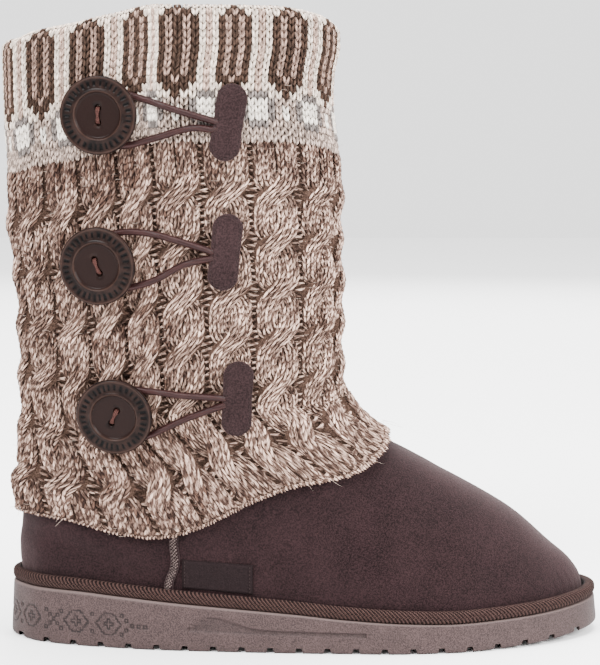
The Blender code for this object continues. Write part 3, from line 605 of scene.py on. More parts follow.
def clean_mesh(mesh, join, flat=0.0, outward=True):
    """Joins points that lie closer than a distance, takes out flat faces and turns the others outwards."""
    work = bmesh.new()
    work.from_mesh(mesh)
    bmesh.ops.remove_doubles(work, verts=work.verts, dist=join)
    if flat:
        bmesh.ops.dissolve_degenerate(work, edges=work.edges, dist=flat)
    if outward:
        bmesh.ops.recalc_face_normals(work, faces=work.faces)
    work.to_mesh(mesh)
    work.free()


def volume_inside(points, faces):
    """Signed volume that faces close in: it is below nought where they point inwards."""
    total = 0.0
    for group in faces:
        for k in range(1, group.shape[1] - 1):
            total += (points[group[:, 0]] * np.cross(points[group[:, k]], points[group[:, k + 1]])).sum()
    return total / 6.0


def grid_faces(rows, columns, wrap_rows=False, wrap_columns=False):
    """Four-sided faces of a grid of points, row after row."""
    r = np.arange(rows if wrap_rows else rows - 1)[:, None]
    c = np.arange(columns if wrap_columns else columns - 1)[None, :]
    above, beside = (r + 1) % rows, (c + 1) % columns
    corners = [r * columns + c, r * columns + beside, above * columns + beside, above * columns + c]
    return np.stack(np.broadcast_arrays(*corners), -1).reshape(-1, 4)


def spindle_faces(count, rings, sides):
    """Faces of many joined spindles, each a tip, some rings of points and another tip."""
    k = np.arange(sides)
    beside = (k + 1) % sides
    size = 2 + rings * sides
    first = np.stack([np.zeros(sides, int), 1 + beside, 1 + k], -1)
    last = 1 + (rings - 1) * sides
    end = np.stack([np.full(sides, size - 1), last + k, last + beside], -1)
    between = []
    for ring in range(rings - 1):
        low = 1 + ring * sides
        between.append(np.stack([low + k, low + beside, low + sides + beside, low + sides + k], -1))
    start = (np.arange(count) * size)[:, None, None]
    caps = (start + np.concatenate([first, end])).reshape(-1, 3)
    return [caps, (start + np.concatenate(between)).reshape(-1, 4)]


def spindle_shape(rings, sides):
    """A spindle's points: place along it from -1 to 1, angle round it and share of its full thickness."""
    along = np.linspace(-1.0, 1.0, rings + 2)
    angle = 2.0 * math.pi * np.arange(sides) / sides - math.pi / 2.0
    thick = (1.0 - np.abs(along) ** 2.4) ** 0.5
    t = np.concatenate([[-1.0], np.repeat(along[1:-1], sides), [1.0]])
    a = np.concatenate([[0.0], np.tile(angle, rings), [0.0]])
    return t, a, np.interp(t, along, thick)


def path_frames(path, outward):
    """Directions along and across paths, (..., points, 3), kept square to an outward direction."""
    along = unit(np.gradient(path, axis=-2))
    out = unit(outward - along * (outward * along).sum(-1, keepdims=True))
    return np.cross(along, out), out


def tube_points(path, radius, sides, outward):
    """Points round paths (..., points, 3): each ring is a circle of the radius across the path."""
    across, out = path_frames(path, outward)
    angle = 2.0 * math.pi * np.arange(sides) / sides
    radius = np.broadcast_to(radius, path.shape[:-1])[..., None, None]
    ring = across[..., None, :] * np.cos(angle)[:, None] + out[..., None, :] * np.sin(angle)[:, None]
    return path[..., None, :] + radius * ring


def bundle(paths, radius, sides, outward):
    """Joined strands along paths (count, points, 3) with closed tips: points, faces and place along each."""
    count, stations = paths.shape[:2]
    share = np.linspace(-1.0, 1.0, stations)
    thick = radius * np.clip(1.0 - np.abs(share) ** 8.0, 0.0, 1.0) ** 0.5
    rings = tube_points(paths, thick, sides, outward)[:, 1:-1].reshape(count, -1, 3)
    points = np.concatenate([paths[:, :1], rings, paths[:, -1:]], 1)
    along = np.concatenate([[-1.0], np.repeat(share[1:-1], sides), [1.0]])
    return points.reshape(-1, 3), spindle_faces(count, stations - 2, sides), np.tile(along, count)


def smooth_route(points, count):
    """Evenly spaced points on a smooth curve through the route's own points (Catmull-Rom)."""
    points = np.asarray(points, float)
    padded = np.vstack([2 * points[0] - points[1], points, 2 * points[-1] - points[-2]])
    fine = []
    for k in range(len(points) - 1):
        a, b, c, d = padded[k : k + 4]
        s = np.linspace(0.0, 1.0, 24, endpoint=False)[:, None]
        square, cube = 2 * a - 5 * b + 4 * c - d, 3 * b - a - 3 * c + d
        fine.append(0.5 * (2 * b + (c - a) * s + square * s**2 + cube * s**3))
    fine = np.vstack([*fine, points[-1:]])
    length = run_along(fine)
    wanted = np.linspace(0.0, length[-1], count)
    return np.stack([np.interp(wanted, length, fine[:, k]) for k in range(points.shape[1])], -1)


def soft_noise(x, y, seed, waves=24):
    """Even noise about -1 to 1 from a sum of waves in random directions."""
    draw = np.random.default_rng(seed)
    angle, phase = draw.uniform(0.0, 2.0 * math.pi, (2, waves))
    pace = draw.uniform(0.4, 1.0, waves)
    total = 0.0
    for a, p, k in zip(angle, phase, pace):
        total = total + np.sin(2.0 * math.pi * k * (x * math.cos(a) + y * math.sin(a)) + p)
    return total / math.sqrt(waves)


# Materials


class Look:
    """The shader nodes of a material or a group, with short ways to add to them. Each value may be a number,
    a colour or a socket to link from."""

    def __init__(self, tree):
        self.tree = tree

    def feed(self, socket, value):
        if isinstance(value, bpy.types.NodeSocket):
            self.tree.links.new(value, socket)
        else:
            socket.default_value = (*value, 1.0) if socket.type == "RGBA" else value

    def add(self, kind, inputs=(), **settings):
        node = self.tree.nodes.new(kind)
        for key, value in settings.items():
            setattr(node, key, value)
        for key, value in dict(inputs).items():
            self.feed(node.inputs[key], value)
        return node

    def times(self, first, second, plus=0.0):
        inputs = {0: first, 1: second, 2: plus}
        return self.add("ShaderNodeMath", inputs, operation="MULTIPLY_ADD").outputs[0]

    def sine(self, turns):
        return self.add("ShaderNodeMath", {0: self.times(turns, 2.0 * math.pi)}, operation="SINE").outputs[0]

    def mix(self, factor, first, second):
        return self.add("ShaderNodeMix", {0: factor, 6: first, 7: second}, data_type="RGBA").outputs[2]

    def noise(self, vector, scale, detail=2.0, roughness=0.5):
        inputs = {"Vector": vector, "Scale": scale, "Detail": detail, "Roughness": roughness}
        return self.add("ShaderNodeTexNoise", inputs).outputs["Fac"]

    def spread(self, value, low, high, to_low=0.0, to_high=1.0):
        """Stretches values from low to high over a new range, clamped, with an even rise."""
        inputs = {"Value": value, "From Min": low, "From Max": high, "To Min": to_low, "To Max": to_high}
        return self.add("ShaderNodeMapRange", inputs, interpolation_type="SMOOTHSTEP").outputs["Result"]

    def place(self):
        return self.add("ShaderNodeTexCoord").outputs["Object"]

    def layer(self, name, output="Fac"):
        return self.add("ShaderNodeAttribute", attribute_name=name).outputs[output]

    def parts(self, vector):
        return self.add("ShaderNodeSeparateXYZ", {0: vector}).outputs

    def group(self, group, **inputs):
        return self.add("ShaderNodeGroup", inputs, node_tree=group).outputs


class Finish(Look):
    """A material with one shader. done() gives it its colour and bump and returns the material."""

    def __init__(self, name, roughness, shine=0.1):
        self.made = bpy.data.materials.new(name)
        self.made.use_nodes = True
        super().__init__(self.made.node_tree)
        self.shader = self.tree.nodes["Principled BSDF"].inputs
        self.shader["Roughness"].default_value = roughness
        self.shader["Specular IOR Level"].default_value = shine

    def done(self, colour, height=None, distance=0.0, strength=1.0):
        self.feed(self.shader["Base Color"], colour)
        if height is not None:
            inputs = {"Height": height, "Distance": distance, "Strength": strength}
            self.feed(self.shader["Normal"], self.add("ShaderNodeBump", inputs).outputs["Normal"])
        return self.made


def new_group(name, vector, *numbers):
    """A shader node group that takes a vector and some numbers: its look and its inputs."""
    look = Look(bpy.data.node_groups.new(name, "ShaderNodeTree"))
    look.tree.interface.new_socket(vector, in_out="INPUT", socket_type="NodeSocketVector")
    for number in numbers:
        look.tree.interface.new_socket(number, in_out="INPUT", socket_type="NodeSocketFloat")
    return look, look.tree.nodes.new("NodeGroupInput").outputs


def close_group(look, **outputs):
    """Gives a group its outputs, all numbers, and returns the group."""
    for name in outputs:
        look.tree.interface.new_socket(name, in_out="OUTPUT", socket_type="NodeSocketFloat")
    taken = look.tree.nodes.new("NodeGroupOutput").inputs
    for name, value in outputs.items():
        look.feed(taken[name], value)
    return look.tree


def nap_group():
    """Brushed nap: blotches a thumb wide, finer clouds and a speckle of fibres, as shade and height."""
    look, given = new_group("nap", "Place", "Blotch", "Speckle")
    blotch = look.noise(given["Place"], given["Blotch"], 3.0, 0.55)
    cloud = look.noise(given["Place"], look.times(given["Blotch"], 5.0), 2.0, 0.6)
    speckle = look.noise(given["Place"], given["Speckle"], 2.0, 0.7)
    shade = look.times(look.spread(blotch, 0.30, 0.70), 0.22)
    shade = look.times(look.spread(cloud, 0.3, 0.7), 0.07, shade)
    shade = look.times(look.spread(speckle, 0.36, 0.64), 0.71, shade)
    return close_group(look, Shade=shade, Height=look.times(cloud, 0.5, speckle))


def speckle_group():
    """Fine grain of moulded foam or of a cast button: soft mottling with a dust of light points."""
    look, given = new_group("speckle", "Place", "Scale")
    mottle = look.noise(given["Place"], given["Scale"], 3.0, 0.6)
    grain = look.noise(given["Place"], look.times(given["Scale"], 22.0), 1.0, 0.5)
    return close_group(look, Mottle=look.spread(mottle, 0.3, 0.7), Grain=grain)


def ply_group():
    """Twisted yarn: two plies that wind round a strand, and fibres along it, from its own coordinates.

    The layer yarn holds the place along the strand, the angle round it in turns and a chance number."""
    look, given = new_group("plies", "Yarn", "Twist", "Plies")
    along, angle, chance = look.parts(given["Yarn"])
    wind = look.times(along, given["Twist"], look.times(chance, 5.0))
    wave = look.sine(look.times(angle, given["Plies"], wind))
    fibre_place = {
        0: look.times(along, 1.6),
        1: look.times(along, 2.0, look.times(angle, 9.0)),
        2: look.times(chance, 90.0),
    }
    stretched = look.add("ShaderNodeCombineXYZ", fibre_place).outputs[0]
    fibre = look.spread(look.noise(stretched, 1.0, 2.0, 0.6), 0.34, 0.66)
    ply = look.spread(look.times(wave, 0.60, look.times(fibre, 0.9)), 0.05, 1.10)
    return close_group(look, Ply=ply, Height=look.times(wave, 0.5, fibre))


NAP = nap_group()
SPECKLE = speckle_group()
PLIES = ply_group()


def suede_material(name, dark, light):
    """Suede: a dull fuzzy leather whose nap catches light at its edges."""
    look = Finish(name, 0.92, 0.06)
    nap = look.group(NAP, Place=look.place(), Blotch=38.0, Speckle=1500.0)
    look.shader["Sheen Weight"].default_value = 0.10
    look.shader["Sheen Roughness"].default_value = 0.5
    look.shader["Sheen Tint"].default_value = (0.75, 0.55, 0.55, 1.0)
    return look.done(look.mix(nap["Shade"], dark, light), nap["Height"], 0.00035, 0.6)


def knit_material():
    """Marled wool: each leg of a stitch has its own tint, and its plies go from that tint to a darker one."""
    look = Finish("marled wool", 0.95)
    plies = look.group(PLIES, Yarn=look.layer("yarn", "Vector"), Twist=0.55, Plies=1.0)
    colour = look.mix(plies["Ply"], look.layer("deep", "Vector"), look.layer("tint", "Vector"))
    return look.done(colour, plies["Height"], 0.0004, 0.8)


def backing_material():
    """The wool behind the stitches: a mottled deep brown that is painted shade for the gaps between stitches,
    and the pale back of the knit in the fold.
    """
    look = Finish("wool backing", 1.0, 0.0)
    nap = look.group(NAP, Place=look.place(), Blotch=60.0, Speckle=1400.0)
    # Painted shade: the wall behind the stitches is far darker than the wool, so the gaps between legs read
    # as shadow.
    deep = look.mix(nap["Shade"], (0.012, 0.0070, 0.0052), (0.082, 0.050, 0.038))
    pale = look.mix(nap["Shade"], (0.110, 0.074, 0.058), (0.420, 0.310, 0.255))
    return look.done(look.mix(look.layer("inside"), deep, pale), nap["Height"], 0.0006, 0.8)


def sole_material():
    """Moulded foam: a dull taupe with fine grain, with painted shade in its cuts and grooves, and paler along
    its upper edge.
    """
    look = Finish("sole foam", 0.65, 0.18)
    speckle = look.group(SPECKLE, Place=look.place(), Scale=90.0)
    grain = look.times(look.spread(speckle["Grain"], 0.3, 0.7), 0.75)
    shade = look.times(speckle["Mottle"], 0.13, grain)
    colour = look.mix(shade, (0.0140, 0.0079, 0.0075), (0.055, 0.0345, 0.0330))
    # Painted shade: the engraved lines, the channel and the tread grooves are darkened.
    colour = look.mix(look.layer("cut"), colour, (0.0040, 0.0024, 0.0023))
    colour = look.mix(look.layer("edge"), colour, (0.098, 0.070, 0.065))
    return look.done(colour, speckle["Grain"], 0.0002, 0.5)


def tape_material():
    """Ribbed tape: each rib is a cord of fine threads, brown, with a painted highlight on its crest and
    painted shade between ribs.
    """
    look = Finish("ribbed tape", 0.85, 0.06)
    weave = look.times(look.sine(look.layer("thread")), 0.22, look.layer("rib"))
    grain = look.times(look.noise(look.place(), 1500.0), 1.0, -0.5)
    weave = look.times(grain, 0.9, weave)
    # Painted light and shade: the rib wave makes the crests pale and the gaps between ribs near black.
    colour = look.mix(look.spread(weave, 0.2, 1.1), (0.0026, 0.0013, 0.0012), (0.048, 0.0262, 0.0228))
    return look.done(colour, weave, 0.0002, 0.7)


def button_material():
    """Cast button: satin brown, mottled on its rim, with painted shade in its cuts and a painted highlight on
    its outer bead and on the dish's lip.
    """
    look = Finish("cast button", 0.32, 0.055)
    speckle = look.group(SPECKLE, Place=look.place(), Scale=210.0)
    colour = look.mix(speckle["Mottle"], (0.0028, 0.0015, 0.0014), (0.0122, 0.0062, 0.0050))
    colour = look.mix(look.layer("dish"), colour, (0.0070, 0.0032, 0.0027))
    # Painted shade: the cut dashes are near black.
    colour = look.mix(look.layer("cut"), colour, (0.0006, 0.0005, 0.0006))
    # Painted highlight: a pale ring on the outer bead and on the dish's lip.
    colour = look.mix(look.layer("edge"), colour, (0.028, 0.0150, 0.0115))
    look.feed(look.shader["Roughness"], look.spread(speckle["Grain"], 0.3, 0.7, 0.24, 0.38))
    return look.done(colour, speckle["Grain"], 0.00005, 0.4)


def thread_material(name, dark, light, twist=3.0, plies=2.0, rough=0.7):
    """Sewing thread or covered cord, coloured by its own plies."""
    look = Finish(name, rough, 0.12)
    strands = look.group(PLIES, Yarn=look.layer("yarn", "Vector"), Twist=twist, Plies=plies)
    return look.done(look.mix(strands["Ply"], dark, light), strands["Height"], 0.00012, 0.6)


def label_material():
    """Woven label: fine crossing threads, blank."""
    look = Finish("woven label", 0.8, 0.05)
    warp, weft, _ = look.parts(look.layer("yarn", "Vector"))
    cloth = look.times(look.sine(warp), look.sine(weft))
    shade = look.times(cloth, 0.25, look.noise(look.place(), 1800.0))
    colour = look.mix(look.spread(shade, 0.2, 0.9), (0.0032, 0.0018, 0.0019), (0.0135, 0.0084, 0.0090))
    return look.done(colour, shade, 0.00012, 0.7)


def fleece_material():
    """Fleece: short curled pile in a warm beige."""
    look = Finish("fleece pile", 1.0, 0.0)
    nap = look.group(NAP, Place=look.place(), Blotch=90.0, Speckle=420.0)
    colour = look.mix(nap["Shade"], (0.120, 0.078, 0.060), (0.420, 0.310, 0.250))
    return look.done(colour, nap["Height"], 0.0016)


SUEDE = suede_material("suede", (0.0022, 0.0009, 0.0011), (0.0165, 0.0080, 0.0088))
TAB_SUEDE = suede_material("tab suede", (0.0036, 0.0017, 0.0018), (0.0220, 0.0118, 0.0124))
KNIT = knit_material()
BACKING = backing_material()
SOLE_FOAM = sole_material()
TAPE = tape_material()
BUTTON = button_material()
LABEL = label_material()
FLEECE = fleece_material()
ELASTIC = thread_material(
    "covered elastic", (0.0075, 0.0021, 0.0021), (0.0240, 0.0076, 0.0070), twist=34.0, plies=6.0, rough=0.36
)
BUTTON_THREAD = thread_material("button thread", (0.014, 0.0044, 0.0036), (0.066, 0.0235, 0.0185))
SEAM_THREAD = thread_material("seam thread", (0.014, 0.009, 0.0085), (0.092, 0.066, 0.061))
DARK_THREAD = thread_material("dark thread", (0.007, 0.0038, 0.0038), (0.028, 0.0160, 0.0155))


# Sole


def groove_places():
    """Middles of the cross grooves, from the heel end."""
    return np.arange(FIRST_GROOVE, SOLE_LENGTH - GROOVE_WIDTH, GROOVE_PITCH)


def groove_height(distance):
    """How far the tread is cut up: a wedge-sided groove at each place."""
    nearest = np.abs(distance[..., None] - groove_places()).min(-1)
    return 1.2 * GROOVE_DEPTH * smooth_step((0.60 * GROOVE_WIDTH - nearest) / (0.22 * GROOVE_WIDTH))


def box_edge(x, z, wide, high):
    """Distance to a box's outline, less than nothing inside."""
    dx, dz = np.abs(x) - wide, np.abs(z) - high
    return np.hypot(np.maximum(dx, 0.0), np.maximum(dz, 0.0)) + np.minimum(np.maximum(dx, dz), 0.0)


# Heel ornament, in millimetres: stepped rosettes with a cross, and small squares between
ROSETTE_STEPS = ((2.2, 4.9), (3.5, 4.0), (4.4, 2.6), (5.2, 1.5), (6.1, 0.7))
CROSS_ARMS = ((0.65, 2.3), (2.3, 0.65))
ROSETTES = (11.3, 33.5, 49.0)
ROSETTE_PACE = 15.0
# Groups of squares: distance of the group's middle, then places along and up from it
SQUARES = (
    (11.3, ((-7.5, 4.0), (-7.5, -4.0))),
    (22.6, ((-4.0, 4.0), (-4.0, -4.0), (-2.0, 2.0), (-2.0, -2.0), (0.0, 0.0))),
    (22.6, ((2.0, 2.0), (2.0, -2.0), (4.0, 4.0), (4.0, -4.0))),
    (41.3, ((0.0, 4.0), (0.0, -4.0))),
    (55.2, ((0.0, 4.3), (0.0, -4.3), (2.3, 2.2), (2.3, -2.2), (4.9, 0.0), (8.1, 0.0), (11.3, 0.0))),
)
SQUARE_HALF = 0.7
ORNAMENT_LINE = 0.25
ORNAMENT_BLUR = 0.12
ORNAMENT_LEVEL = 0.46
ORNAMENT_DEPTH = 0.00032


@functools.cache
def wall_length():
    """Distances from the heel end and the length along the outline to each."""
    fine = sole_steps(3000)
    return fine, run_along(np.stack([fine, centre_line(fine) - half_widths(fine)[0]], -1))


def ornament_cut(distance, height):
    """The engraved ornament on the heel: 1 in its lines. It is laid out along the wall, and its steps and
    crosses are unions of boxes."""
    x = np.interp(distance, *wall_length()) * 1000.0
    z = (height - ORNAMENT_LEVEL * sole_top(distance)) * 1000.0
    middles = [float(np.interp(at / 1000.0, *wall_length())) * 1000.0 for at in ROSETTES]
    shapes = []
    for middle in (middles[0] - ROSETTE_PACE, *middles):
        shapes += [(middle, 0.0, ROSETTE_STEPS), (middle, 0.0, CROSS_ARMS)]
    for at, group in SQUARES:
        middle = float(np.interp(at / 1000.0, *wall_length())) * 1000.0
        shapes += [(middle + along, up, ((SQUARE_HALF, SQUARE_HALF),)) for along, up in group]
    found = np.zeros_like(x)
    for along, up, boxes in shapes:
        edge = np.min([box_edge(x - along, z - up, *half) for half in boxes], axis=0)
        found = np.maximum(found, 1.0 - smooth_step((np.abs(edge) - ORNAMENT_LINE) / ORNAMENT_BLUR))
    return found


def channel_cut(distance, height):
    """The sunk channel in the sole's side: high at its heel end and tapering to a round toe end."""
    share = (distance - CHANNEL_START) / CHANNEL_LENGTH
    swell = CHANNEL_HEIGHT * (0.5 + 1.1 * np.exp(-(((share - 0.14) / 0.16) ** 2)) * smooth_step(share / 0.1))
    low = CHANNEL_LOW + 0.0015 * (1.0 - share)
    inside = np.minimum(height - low, low + swell - height)
    ends = np.minimum(share, 1.0 - share) * CHANNEL_LENGTH
    return smooth_step(np.minimum(inside, ends) / 0.0006)


def make_sole():
    """Each station is a ring round the sole's section: over the top, down the outer wall, across the tread
    and up the inner wall. Stations lie close at the heel's ornament and at each groove's edges."""
    beside_groove = GROOVE_WIDTH * np.array([-0.6, -0.49, -0.38, 0.38, 0.49, 0.6])
    edges = (groove_places()[:, None] + beside_groove).ravel()
    close = np.interp(np.arange(0.004, 0.092, 0.00038), *reversed(wall_length()))
    distance = np.unique(np.round(np.concatenate([sole_steps(150), edges, close, channel_ends()]), 6))
    distance = distance[np.concatenate([[True], np.diff(distance) > 0.00011])]
    distance[-1] = SOLE_LENGTH
    ground, top = sole_bottom(distance), sole_top(distance)
    cut = groove_height(distance) * smooth_step(np.minimum(distance, SOLE_LENGTH - distance) / 0.0004)
    rows = wall_rows()
    height = (ground + cut)[:, None] + (top - ground - cut)[:, None] * rows
    above = height - ground[:, None]
    share = above / (top - ground)[:, None]
    far = np.repeat(distance[:, None], len(rows), 1)
    carved, channel = ornament_cut(far, above), channel_cut(far, height)
    out = SOLE_EDGE * np.interp(above / SOLE_EDGE, (0.0, 0.25, 0.55, 1.3), (-1.0, -0.45, -0.15, 0.0))
    out = out - SOLE_FLARE * share - ORNAMENT_DEPTH * carved - CHANNEL_DEPTH * channel
    out = out - 0.0004 * smooth_step((share - 0.965) / 0.035)
    walls = []
    for side, sign in zip(half_widths(distance), (-1.0, 1.0)):
        outline = np.stack([distance, centre_line(distance) + sign * side], -1)
        edge = np.gradient(outline, axis=0)
        normal = unit(np.stack([-edge[:, 1], edge[:, 0]], -1) * sign)
        normal[0], normal[-1] = (-1.0, 0.0), (1.0, 0.0)
        xy = outline[:, None, :] + normal[:, None, :] * out[..., None]
        walls.append(np.concatenate([xy, height[..., None]], -1))
    outer, inner = walls
    tread = between(outer[:, 0], inner[:, 0], 8)
    cover = between(inner[:, -1], outer[:, -1], 8)
    bare = np.zeros(tread.shape[:2])
    # Painted shade for the grooves' floors, the ornament's lines and the channel, read by the finish as cut.
    painted_groove_shade = 0.55 * smooth_step(cut / (1.2 * GROOVE_DEPTH))[:, None] + bare
    cuts = 0.8 * carved + 0.28 * channel
    rims = smooth_step((share - 0.955) / 0.03) * 0.75
    add_grid(
        "sole", np.concatenate([outer[:, ::-1], tread, inner, cover], 1), SOLE_FOAM, ["outsole"], "sole",
        (False, True), True, cut=np.concatenate([cuts[:, ::-1], painted_groove_shade, cuts, bare], 1),
        edge=np.concatenate([rims[:, ::-1], bare, rims, bare], 1),
    )


def channel_ends():
    """Stations close to the channel's two ends, so that they are crisp."""
    steps = np.array([-0.0003, 0.0, 0.0003, 0.0006, 0.0010])
    return np.concatenate([CHANNEL_START + steps, CHANNEL_START + CHANNEL_LENGTH - steps[::-1]])


def wall_rows():
    """Shares of the wall's height, close together over the ornament's height."""
    low, middle = np.linspace(0.0, 0.12, 8, endpoint=False), np.linspace(0.12, 0.80, 40, endpoint=False)
    return np.concatenate([low, middle, np.linspace(0.80, 1.0, 8)])


def between(first, last, count):
    """So many even rows of points between two edges, without the edges."""
    share = np.linspace(0.0, 1.0, count + 2)[1:-1, None]
    return first[:, None, :] * (1.0 - share) + last[:, None, :] * share


def sole_outline(turn, outset):
    """Points of the sole's outline moved outwards, at turns round it, and the length along it."""
    outer = turn <= 1.0
    distance = SOLE_LENGTH * (1.0 - np.cos(math.pi * np.where(outer, turn, 2.0 - turn))) / 2.0
    sides = half_widths(distance)
    points = np.stack([distance, centre_line(distance) + np.where(outer, -sides[0], sides[1])], -1)
    edge = np.roll(points, -1, 0) - np.roll(points, 1, 0)
    length = np.cumsum(np.linalg.norm(points - np.roll(points, 1, 0), axis=1))
    return points + unit(np.stack([edge[:, 1], -edge[:, 0]], -1)) * outset, length


def squared(wave):
    """A wave with fuller corners, so that a circle drawn with it comes nearer to a square."""
    return np.sign(wave) * np.abs(wave) ** 0.8


def make_tape():
    """A folded tape round the foot: its section is carried round the outline, and slanting ribs swell its
    face by a wave of the length along it and the height."""
    fine = np.linspace(0.0, 2.0, 3001)[:-1]
    length = sole_outline(fine, 0.0)[1]
    turn = np.interp(np.linspace(length[0], length[-1], 1420, endpoint=False), length, fine)
    edge, run = sole_outline(turn, -SOLE_FLARE + 0.0001)
    foot = on_body(turn, 0.0, GAP)[:, :2]
    away = unit(edge - foot)
    angle = np.linspace(-0.42 * math.pi, 0.72 * math.pi, 22)
    out = np.concatenate([[0.0], 0.48 + 0.54 * squared(np.cos(angle)), [0.0, 0.0]])
    up = np.concatenate([[0.02], 0.50 + 0.50 * squared(np.sin(angle)), [0.60, 0.30]])
    rings, ribs, threads = [], [], []
    pace = run[-1] / round(run[-1] / RIB_PITCH)
    for share, rise in zip(out, up * TAPE_HEIGHT):
        face = smooth_step((share - 0.05) / 0.3)
        rib = 0.5 + 0.5 * np.cos(2.0 * math.pi * (run / pace + rise / RIB_SLANT))
        reach = foot + share * (edge - foot) + away * (RIB_DEPTH * face * (rib**0.7 - 0.6))[:, None]
        height = sole_top(reach[:, 0]) + GAP + rise + 0.00012 * face * rib
        rings.append(np.column_stack([reach, height]))
        # The rib wave is kept as the finish's painted highlight on crests and painted shade between ribs.
        ribs.append(rib * face)
        threads.append(run / TAPE_THREAD - rise / TAPE_THREAD)
    layers = {"rib": np.stack(ribs), "thread": np.stack(threads)}
    add_grid("edge_tape", np.stack(rings), TAPE, ["foxing_tape"], "tape", **layers)


# Upper, lining and footbed

# Creases: places as shares of SOLE_LENGTH and INSTEP_HEIGHT, slope, length and width as shares of
# SOLE_LENGTH, and depth
CREASES = (
    (0.655, 0.40, 0.75, 0.085, 0.014, 0.0007),
    (0.600, 0.36, 0.95, 0.070, 0.012, 0.0006),
    (0.720, 0.30, 0.45, 0.070, 0.016, 0.0004),
    (0.110, 0.20, -0.35, 0.080, 0.020, 0.0008),
    (0.170, 0.13, -0.20, 0.090, 0.018, 0.0006),
    (0.400, 0.16, 0.30, 0.090, 0.020, 0.0005),
)
SUEDE_THICKNESS = 0.0011
LINING_START = 0.0016


def crease_depth(distance, level, turn):
    """Soft troughs where the foot bends, small puckers at the toe's foot and slack at the heel."""
    outer = np.where(turn <= 1.0, 1.0, 0.5)
    d, v = distance / SOLE_LENGTH, level / INSTEP_HEIGHT
    total = np.zeros_like(d)
    for at, up, slope, long, wide, deep in CREASES:
        x, z = d - at, (v - up) * INSTEP_HEIGHT / SOLE_LENGTH
        along = (x + slope * z) / math.hypot(1.0, slope)
        across = (z - slope * x) / math.hypot(1.0, slope)
        trough = np.exp(-((across / wide) ** 2)) - 0.55 * np.exp(-(((across - 1.6 * wide) / wide) ** 2))
        total -= deep * np.exp(-((along / long) ** 2)) * trough * outer
    toe = smooth_step((d - 0.86) / 0.08) * np.exp(-((v / 0.10) ** 2))
    heel = smooth_step((0.10 - d) / 0.06) * np.exp(-((v / 0.09) ** 2))
    total += 0.00028 * toe * np.sin(turn * 2.0 * math.pi * 41.0)
    total += 0.00018 * heel * np.sin(turn * 2.0 * math.pi * 37.0)
    return total + 0.00035 * soft_noise(d * 9.0, v * 3.0, 3)


def make_upper():
    """Suede: the body of turns and levels with its creases, and a back face a leather's thickness inside. Its
    rows are close together on the foot."""
    turn = np.linspace(0.0, 2.0, 230, endpoint=False)
    share = np.concatenate([np.linspace(0.0, 0.34, 64, endpoint=False), np.linspace(0.34, 1.0, 22)])
    level = share[:, None] * collar_level(turn)
    relief = crease_depth(body(turn, level)[..., 0], level, turn) * smooth_step(level / 0.004)
    outside = on_body(turn, level, np.clip(relief, -0.0009, 0.0006))
    inside = on_body(turn, level[::-4], -SUEDE_THICKNESS)
    inside[-1, :, 2] = outside[0, :, 2]
    add_grid("suede_upper", np.concatenate([outside, inside]), SUEDE, ["upper"], "suede")


def make_lining():
    """Fleece: a wall from the back of the suede inwards, its face lumpy by soft noise."""
    turn = np.linspace(0.0, 2.0, 140, endpoint=False)
    share = np.concatenate([np.linspace(0.0, 0.4, 34, endpoint=False), np.linspace(0.4, 1.0, 18)])
    level = share[:, None] * (collar_level(turn) - 0.0004)
    lumps = 0.00035 * soft_noise(turn * 60.0, level * 600.0, 11) * smooth_step(level / 0.01)
    back = on_body(turn, level, -LINING_START)
    pile = on_body(turn, level[::-1], -WALL + np.minimum(lumps[::-1], 0.0004))
    pile[-1, :, 2] = back[0, :, 2]
    add_grid("fleece_lining", np.concatenate([back, pile]), FLEECE, (), "fleece")


def make_footbed():
    """Fleece footbed: rings that shrink from the insole's edge nearly to the foot's middle line, with a soft
    pile. A narrow lid closes each face."""
    count = 160
    edge = on_body(np.linspace(0.0, 2.0, count, endpoint=False), 0.0, -(WALL + INSOLE_FIT + 0.0002))
    sides = ((0.985, 0.0), (0.0, 0.0), (0.0, 0.45), (0.008, 0.80), (0.03, 0.97))
    rings = [footbed_ring(edge, inward, up * INSOLE_THICKNESS) for inward, up in sides]
    for inward in np.linspace(0.08, 0.985, 26):
        ring = footbed_ring(edge, inward, INSOLE_THICKNESS)
        ring[:, 2] += 0.00025 * soft_noise(ring[:, 0] * 320.0, ring[:, 1] * 320.0, 5) * (1.0 - inward**8)
        rings.append(ring)
    k = np.arange(count // 2)
    lid = np.stack([k, k + 1, count - 1 - k, (count - k) % count], -1)
    faces = [grid_faces(len(rings), count, False, True), lid, (lid + (len(rings) - 1) * count)[:, ::-1]]
    add_piece("fleece_footbed", np.stack(rings), faces, FLEECE, ["insole"], "fleece", weld=True)


def footbed_ring(edge, inward, up):
    """The footbed's edge drawn a share of the way to the foot's middle line, at a height over the sole."""
    reach = np.clip(edge[:, 0], 0.13 * SOLE_LENGTH, 0.85 * SOLE_LENGTH)
    core = np.column_stack([reach, centre_line(reach)])
    ring = edge.copy()
    ring[:, :2] += (core - edge[:, :2]) * inward
    ring[:, 2] = sole_top(ring[:, 0]) + GAP + up
    return ring


# Knit

# Place along a stitch's leg from -1 to 1, angle round it and share of its full thickness, at each point
LEG = spindle_shape(3, 4)
BACKING_SET = 0.0006
# The marled wool from its darkest to its lightest, on the ply that shows and on the ply behind it
WOOL_TINTS = np.array([(0.112, 0.062, 0.045), (0.860, 0.590, 0.470)])
WOOL_DEEPS = np.array([(0.018, 0.009, 0.007), (0.110, 0.064, 0.049)])


def columns_of(*ranges):
    """Every combination of values from the ranges, each range's values as one column."""
    return [a.reshape(-1, 1).astype(float) for a in np.meshgrid(*ranges, indexing="ij")]


